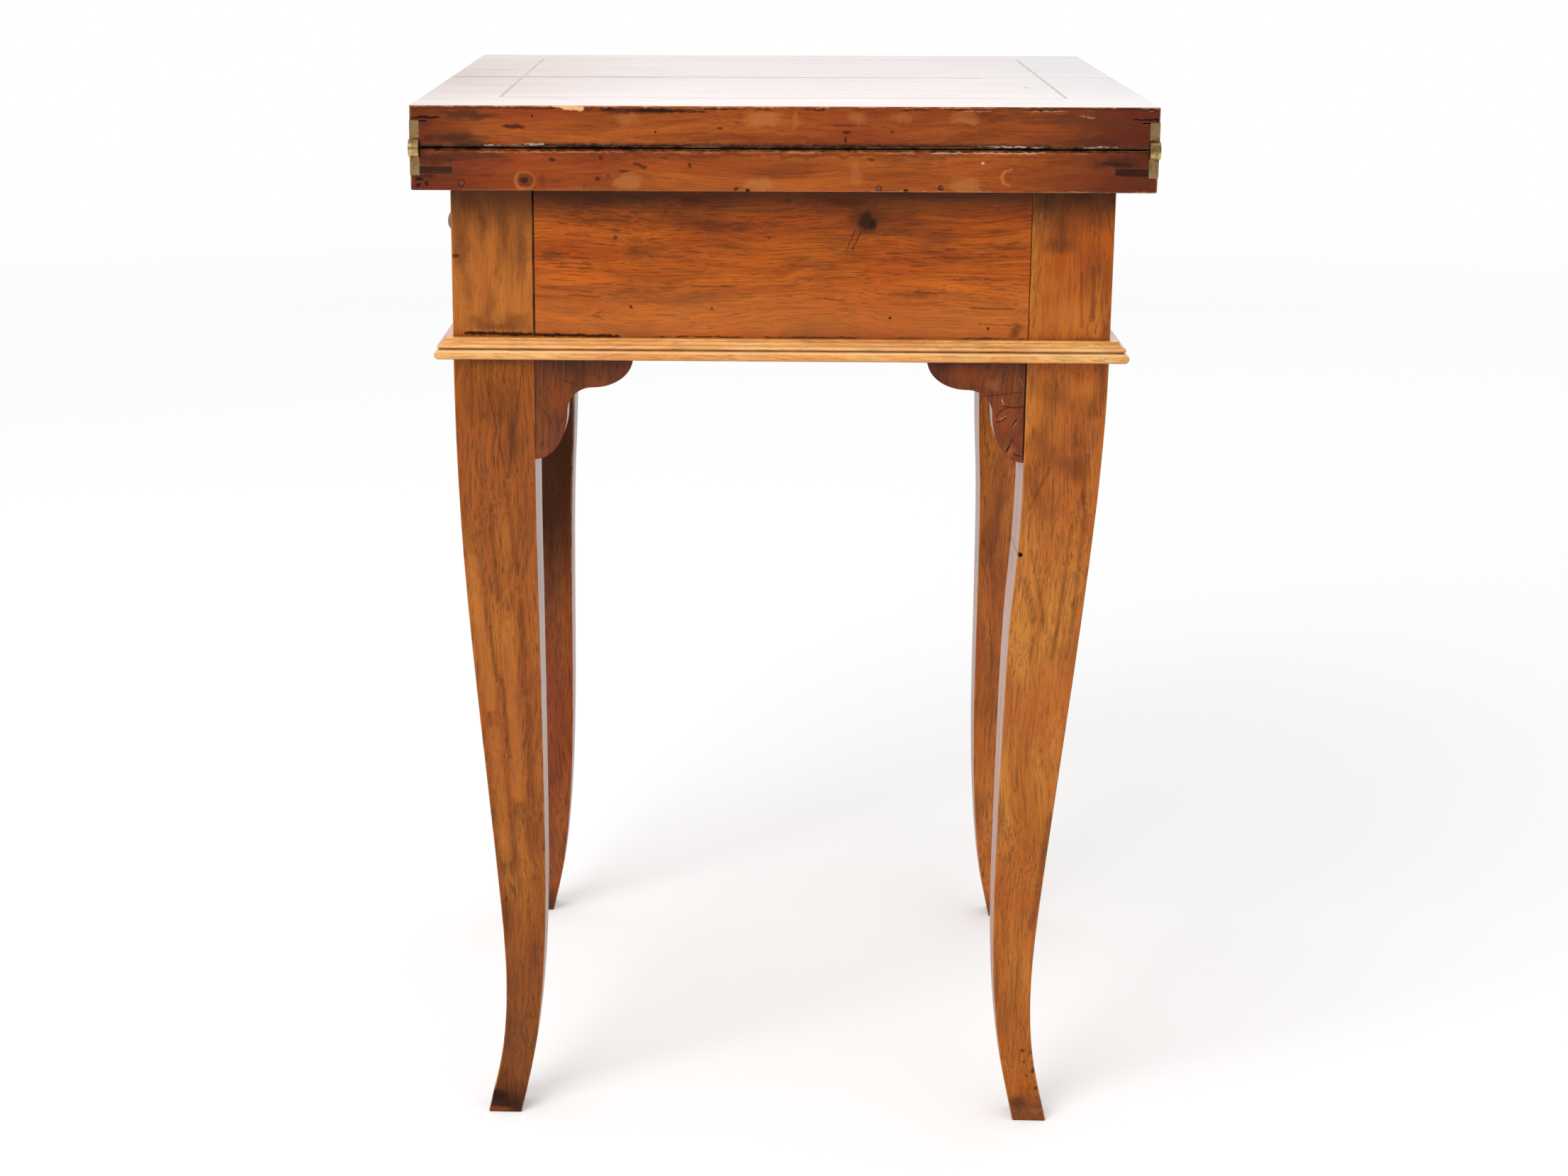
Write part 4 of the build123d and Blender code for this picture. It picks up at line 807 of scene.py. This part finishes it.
def makeMetal(name):
    look = metals[name]
    material, tree, shader = newMaterial(name)
    place = put(tree, "TexCoord").outputs["Object"]
    patina = useGroup(tree, patinaGroup, named(
        look, place, ("patches", "bright", "dull", "stain")))
    wear = useGroup(tree, wearGroup, {"Vector": place, "Radius": metalSurface["edgeRadius"],
                                      "Breaks": metalSurface["edgeBreaks"]})
    rubbed = times(tree, wear["Mask"], metalSurface["rubbed"])
    feed(tree, shader["Base Color"], blend(tree, rubbed, patina["Color"], look["bright"]))
    shader["Metallic"].default_value = 1.0
    rough = between(tree, patina["Patch"], *metalSurface["patchSpan"], *look["rough"])
    feed(tree, shader["Roughness"], rough)
    bump = put(tree, "Bump", {"Strength": metalSurface["raised"],
                              "Distance": metalSurface["bumpHeight"],
                              "Height": patina["Fine"], "Normal": wear["Normal"]})
    feed(tree, shader["Normal"], bump.outputs["Normal"])
    return material


screwBrass = makeMetal("screwBrass")
dress(["hinge_lower_screws", "hinge_upper_screws"], screwBrass)
dress(["hinge_lower_plate_left", "hinge_lower_plate_right", "hinge_upper_plate_left",
       "hinge_upper_plate_right", "hinge_pins"], makeMetal("agedBrass"))
dress(["drawer_knob"], makeMetal("darkBrass"))
dress(["pivot_bolt", "pivot_screws", "pivot_washer", "pivot_nut", "knob_screw"],
      makeMetal("dullSteel"))
print("fittings dressed")


shading = {"weld": 1e-5, "corner": 32}


def smooth(piece):
    # joins the loose triangles for shading, and keeps sharp corners
    for polygon in piece.data.polygons:
        polygon.use_smooth = True
    weld = piece.modifiers.new("joined", "WELD")
    weld.merge_threshold = shading["weld"]
    split = piece.modifiers.new("corners", "EDGE_SPLIT")
    split.split_angle = math.radians(shading["corner"])
    split.use_edge_sharp = False
    piece.modifiers.new("flatFaces", "WEIGHTED_NORMAL")


for piece in nodes.values():
    smooth(piece)
print("shading smoothed")


# the slotted screws that hold the hinge plates, in mm and degrees
hingeScrew = {
    "head": 3.4, "shank": 1.8, "taper": 1.6, "body": 11.0, "point": 5.0, "tip": 0.12, "sides": 40,
    "slotWide": 0.9, "slotDeep": 1.1, "softened": 0.12, "corner": 30,
    "endFace": 250.0, "runs": (-235.72, -216.4), "levels": {"upper": 730.9, "lower": 712.7},
    "turned": (24.0, 97.0, 151.0, 62.0), "turnedMore": {"upper": 1, "lower": 2.3},
}


def selectFaces(piece, wanted):
    # selects the faces that a test names, in edit mode with face select on
    bpy.ops.object.mode_set(mode="OBJECT")
    for polygon in piece.data.polygons:
        polygon.select = wanted(polygon)
    for part in (piece.data.edges, piece.data.vertices):
        for element in part:
            element.select = False
    bpy.ops.object.mode_set(mode="EDIT")


def extrudeDown(depth):
    bpy.ops.mesh.extrude_region_move(TRANSFORM_OT_translate={"value": (0.0, 0.0, -depth)})


def modelScrew():
    # a countersunk screw along Z, its head's face at the origin
    size = {name: hingeScrew[name] * mm for name in
            ("head", "shank", "taper", "body", "point", "slotWide", "slotDeep", "softened")}
    bpy.ops.object.select_all(action="DESELECT")
    bpy.ops.mesh.primitive_cone_add(vertices=hingeScrew["sides"], radius1=size["shank"],
                                    radius2=size["head"], depth=size["taper"],
                                    location=(0.0, 0.0, -size["taper"] / 2))
    screw = bpy.context.object
    bpy.ops.object.transform_apply(location=True, rotation=False, scale=False)
    bpy.ops.object.mode_set(mode="EDIT")
    bpy.ops.mesh.select_mode(type="FACE")
    selectFaces(screw, lambda polygon: polygon.normal.z < -0.9)
    extrudeDown(size["body"])
    extrudeDown(size["point"])
    bpy.ops.transform.resize(value=(hingeScrew["tip"], hingeScrew["tip"], 1.0))
    bpy.ops.object.mode_set(mode="OBJECT")
    # a bar longer than the head is wide cuts the slot
    bpy.ops.mesh.primitive_cube_add(size=1.0)
    cutter = bpy.context.object
    cutter.scale = (3 * size["head"], size["slotWide"], 2 * size["slotDeep"])
    bpy.ops.object.transform_apply(location=False, rotation=False, scale=True)
    bpy.ops.object.select_all(action="DESELECT")
    screw.select_set(True)
    bpy.context.view_layer.objects.active = screw
    slot = screw.modifiers.new("slot", "BOOLEAN")
    slot.operation = "DIFFERENCE"
    slot.solver = "EXACT"
    slot.object = cutter
    bpy.ops.object.modifier_apply(modifier="slot")
    soft = screw.modifiers.new("softened", "BEVEL")
    soft.width = size["softened"]
    soft.segments = 2
    soft.limit_method = "ANGLE"
    bpy.ops.object.modifier_apply(modifier="softened")
    bpy.data.objects.remove(cutter)
    return screw


def driveScrews(first, leaf):
    # four copies, two in each end of one leaf
    driven = []
    places = [(side, run) for side in (1, -1) for run in hingeScrew["runs"]]
    for (side, run), turned in zip(places, hingeScrew["turned"]):
        screw = first.copy()
        screw.data = first.data.copy()
        bpy.context.collection.objects.link(screw)
        lean = Matrix.Rotation(math.radians(90 * side), 4, "Y")
        turn = Matrix.Rotation(math.radians(turned * hingeScrew["turnedMore"][leaf]), 4, "Z")
        at = Vector((side * hingeScrew["endFace"], run, hingeScrew["levels"][leaf])) * mm
        screw.data.transform(Matrix.Translation(at) @ lean @ turn)
        driven.append(screw)
    bpy.ops.object.select_all(action="DESELECT")
    for screw in driven:
        screw.select_set(True)
    bpy.context.view_layer.objects.active = driven[0]
    bpy.ops.object.join()
    screws = bpy.context.object
    bpy.ops.object.shade_smooth_by_angle(angle=math.radians(hingeScrew["corner"]))
    screws.name = leaf + "HingeScrews"
    screws.data.materials.clear()
    screws.data.materials.append(screwBrass)
    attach(screws, leaf + "_leaf")
    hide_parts("hinge_" + leaf + "_screws")


screwPattern = modelScrew()
for leaf in hingeScrew["levels"]:
    driveScrews(screwPattern, leaf)
bpy.data.objects.remove(screwPattern)
print("hinge screws driven")


# floor and light, in metres, watts and degrees
studio = {
    "floorHalf": 6.0, "floorSides": 96, "floorColour": 0.93, "floorLift": 0.21,
    "floorRough": 0.9, "floorSpecular": 0.2, "fadeFrom": 0.35, "fadeTo": 0.95,
    "worldLight": 0.75, "roomLight": 0.2, "roomEdge": (-0.25, 0.3),
    "rearPlace": (2.2, 4.2, 1.95), "rearSize": (6.0, 1.8), "rearTilt": -105, "rearPower": 14.0,
    "keyPlace": (-1.4, -1.9, 2.3), "keySize": 1.6, "keyAim": 0.5, "keyPower": 36.0,
}
white = (1.0, 1.0, 1.0, 1.0)


def buildFloor():
    bpy.ops.object.select_all(action="DESELECT")
    bpy.ops.mesh.primitive_circle_add(vertices=studio["floorSides"], radius=studio["floorHalf"],
                                      fill_type="NGON")
    floor = bpy.context.object
    floor.name = "floor"
    material, tree, shader = newMaterial("paleFloor")
    place = put(tree, "TexCoord").outputs["Object"]
    fade = between(tree, vectorSums(tree, "LENGTH", place),
                   studio["floorHalf"] * studio["fadeFrom"],
                   studio["floorHalf"] * studio["fadeTo"], 1.0, 0.0)
    level = studio["floorColour"]
    shader["Base Color"].default_value = (level, level, level, 1.0)
    shader["Roughness"].default_value = studio["floorRough"]
    shader["Specular IOR Level"].default_value = studio["floorSpecular"]
    feed(tree, shader["Alpha"], fade)
    # only the camera sees the floor as white as the world; its shadow stays
    camera = put(tree, "LightPath").outputs["Is Camera Ray"]
    shader["Emission Color"].default_value = white
    feed(tree, shader["Emission Strength"], times(tree, camera, studio["floorLift"]))
    floor.data.materials.append(material)


def buildWorld():
    # white for the camera and in reflections, darker towards the front of the room
    world = bpy.data.worlds.new("studio")
    world.use_nodes = True
    bpy.context.scene.world = world
    tree = world.node_tree
    path = put(tree, "LightPath").outputs
    seen = sums(tree, "MAXIMUM", path["Is Camera Ray"],
                sums(tree, "MAXIMUM", path["Is Glossy Ray"], path["Is Transmission Ray"]))
    background = tree.nodes["Background"].inputs
    background["Color"].default_value = white
    heading = axisPart(tree, put(tree, "TexCoord").outputs["Generated"], "Y")
    behind = between(tree, heading, *studio["roomEdge"], studio["roomLight"], 1.0)
    shown = sums(tree, "MAXIMUM", behind, path["Is Camera Ray"])
    spread = put(tree, "Mix", {0: seen, 2: studio["worldLight"], 3: shown}, data_type="FLOAT")
    feed(tree, background["Strength"], spread.outputs[0])


def addLamp(name, shape, place, power, tilt=0):
    bpy.ops.object.light_add(type="AREA", location=place,
                             rotation=(math.radians(tilt), 0.0, 0.0))
    lamp = bpy.context.object
    lamp.name = name
    lamp.data.shape = shape
    lamp.data.energy = power
    return lamp


def buildLamps():
    key = addLamp("keyLight", "SQUARE", studio["keyPlace"], studio["keyPower"])
    key.data.size = studio["keySize"]
    aim = key.location.copy()
    aim.z -= studio["keyAim"]
    key.rotation_euler = aim.to_track_quat("Z", "Y").to_euler()
    # a low soft light behind, which the flat top mirrors
    rear = addLamp("rearLight", "RECTANGLE", studio["rearPlace"], studio["rearPower"],
                   studio["rearTilt"])
    rear.data.size, rear.data.size_y = studio["rearSize"]


# the camera's place in metres, its angles in radians, its lens and film in mm
view = {"place": (-0.01346, -2.07166, 0.90485), "pitch": 0.26102, "yaw": 0.03816,
        "lens": 62.12, "film": 36.0, "shift": 0.0802, "reach": 50.0}


def buildCamera():
    bpy.ops.object.camera_add(location=view["place"],
                              rotation=(math.pi / 2 - view["pitch"], 0.0, view["yaw"]))
    camera = bpy.context.object
    camera.name = "photoView"
    camera.data.sensor_width = view["film"]
    camera.data.lens = view["lens"]
    camera.data.shift_x = view["shift"]
    camera.data.clip_end = view["reach"]
    bpy.context.scene.camera = camera


buildFloor()
buildWorld()
buildLamps()
buildCamera()
bpy.context.scene.view_settings.view_transform = "Standard"
print("floor, light and camera placed")
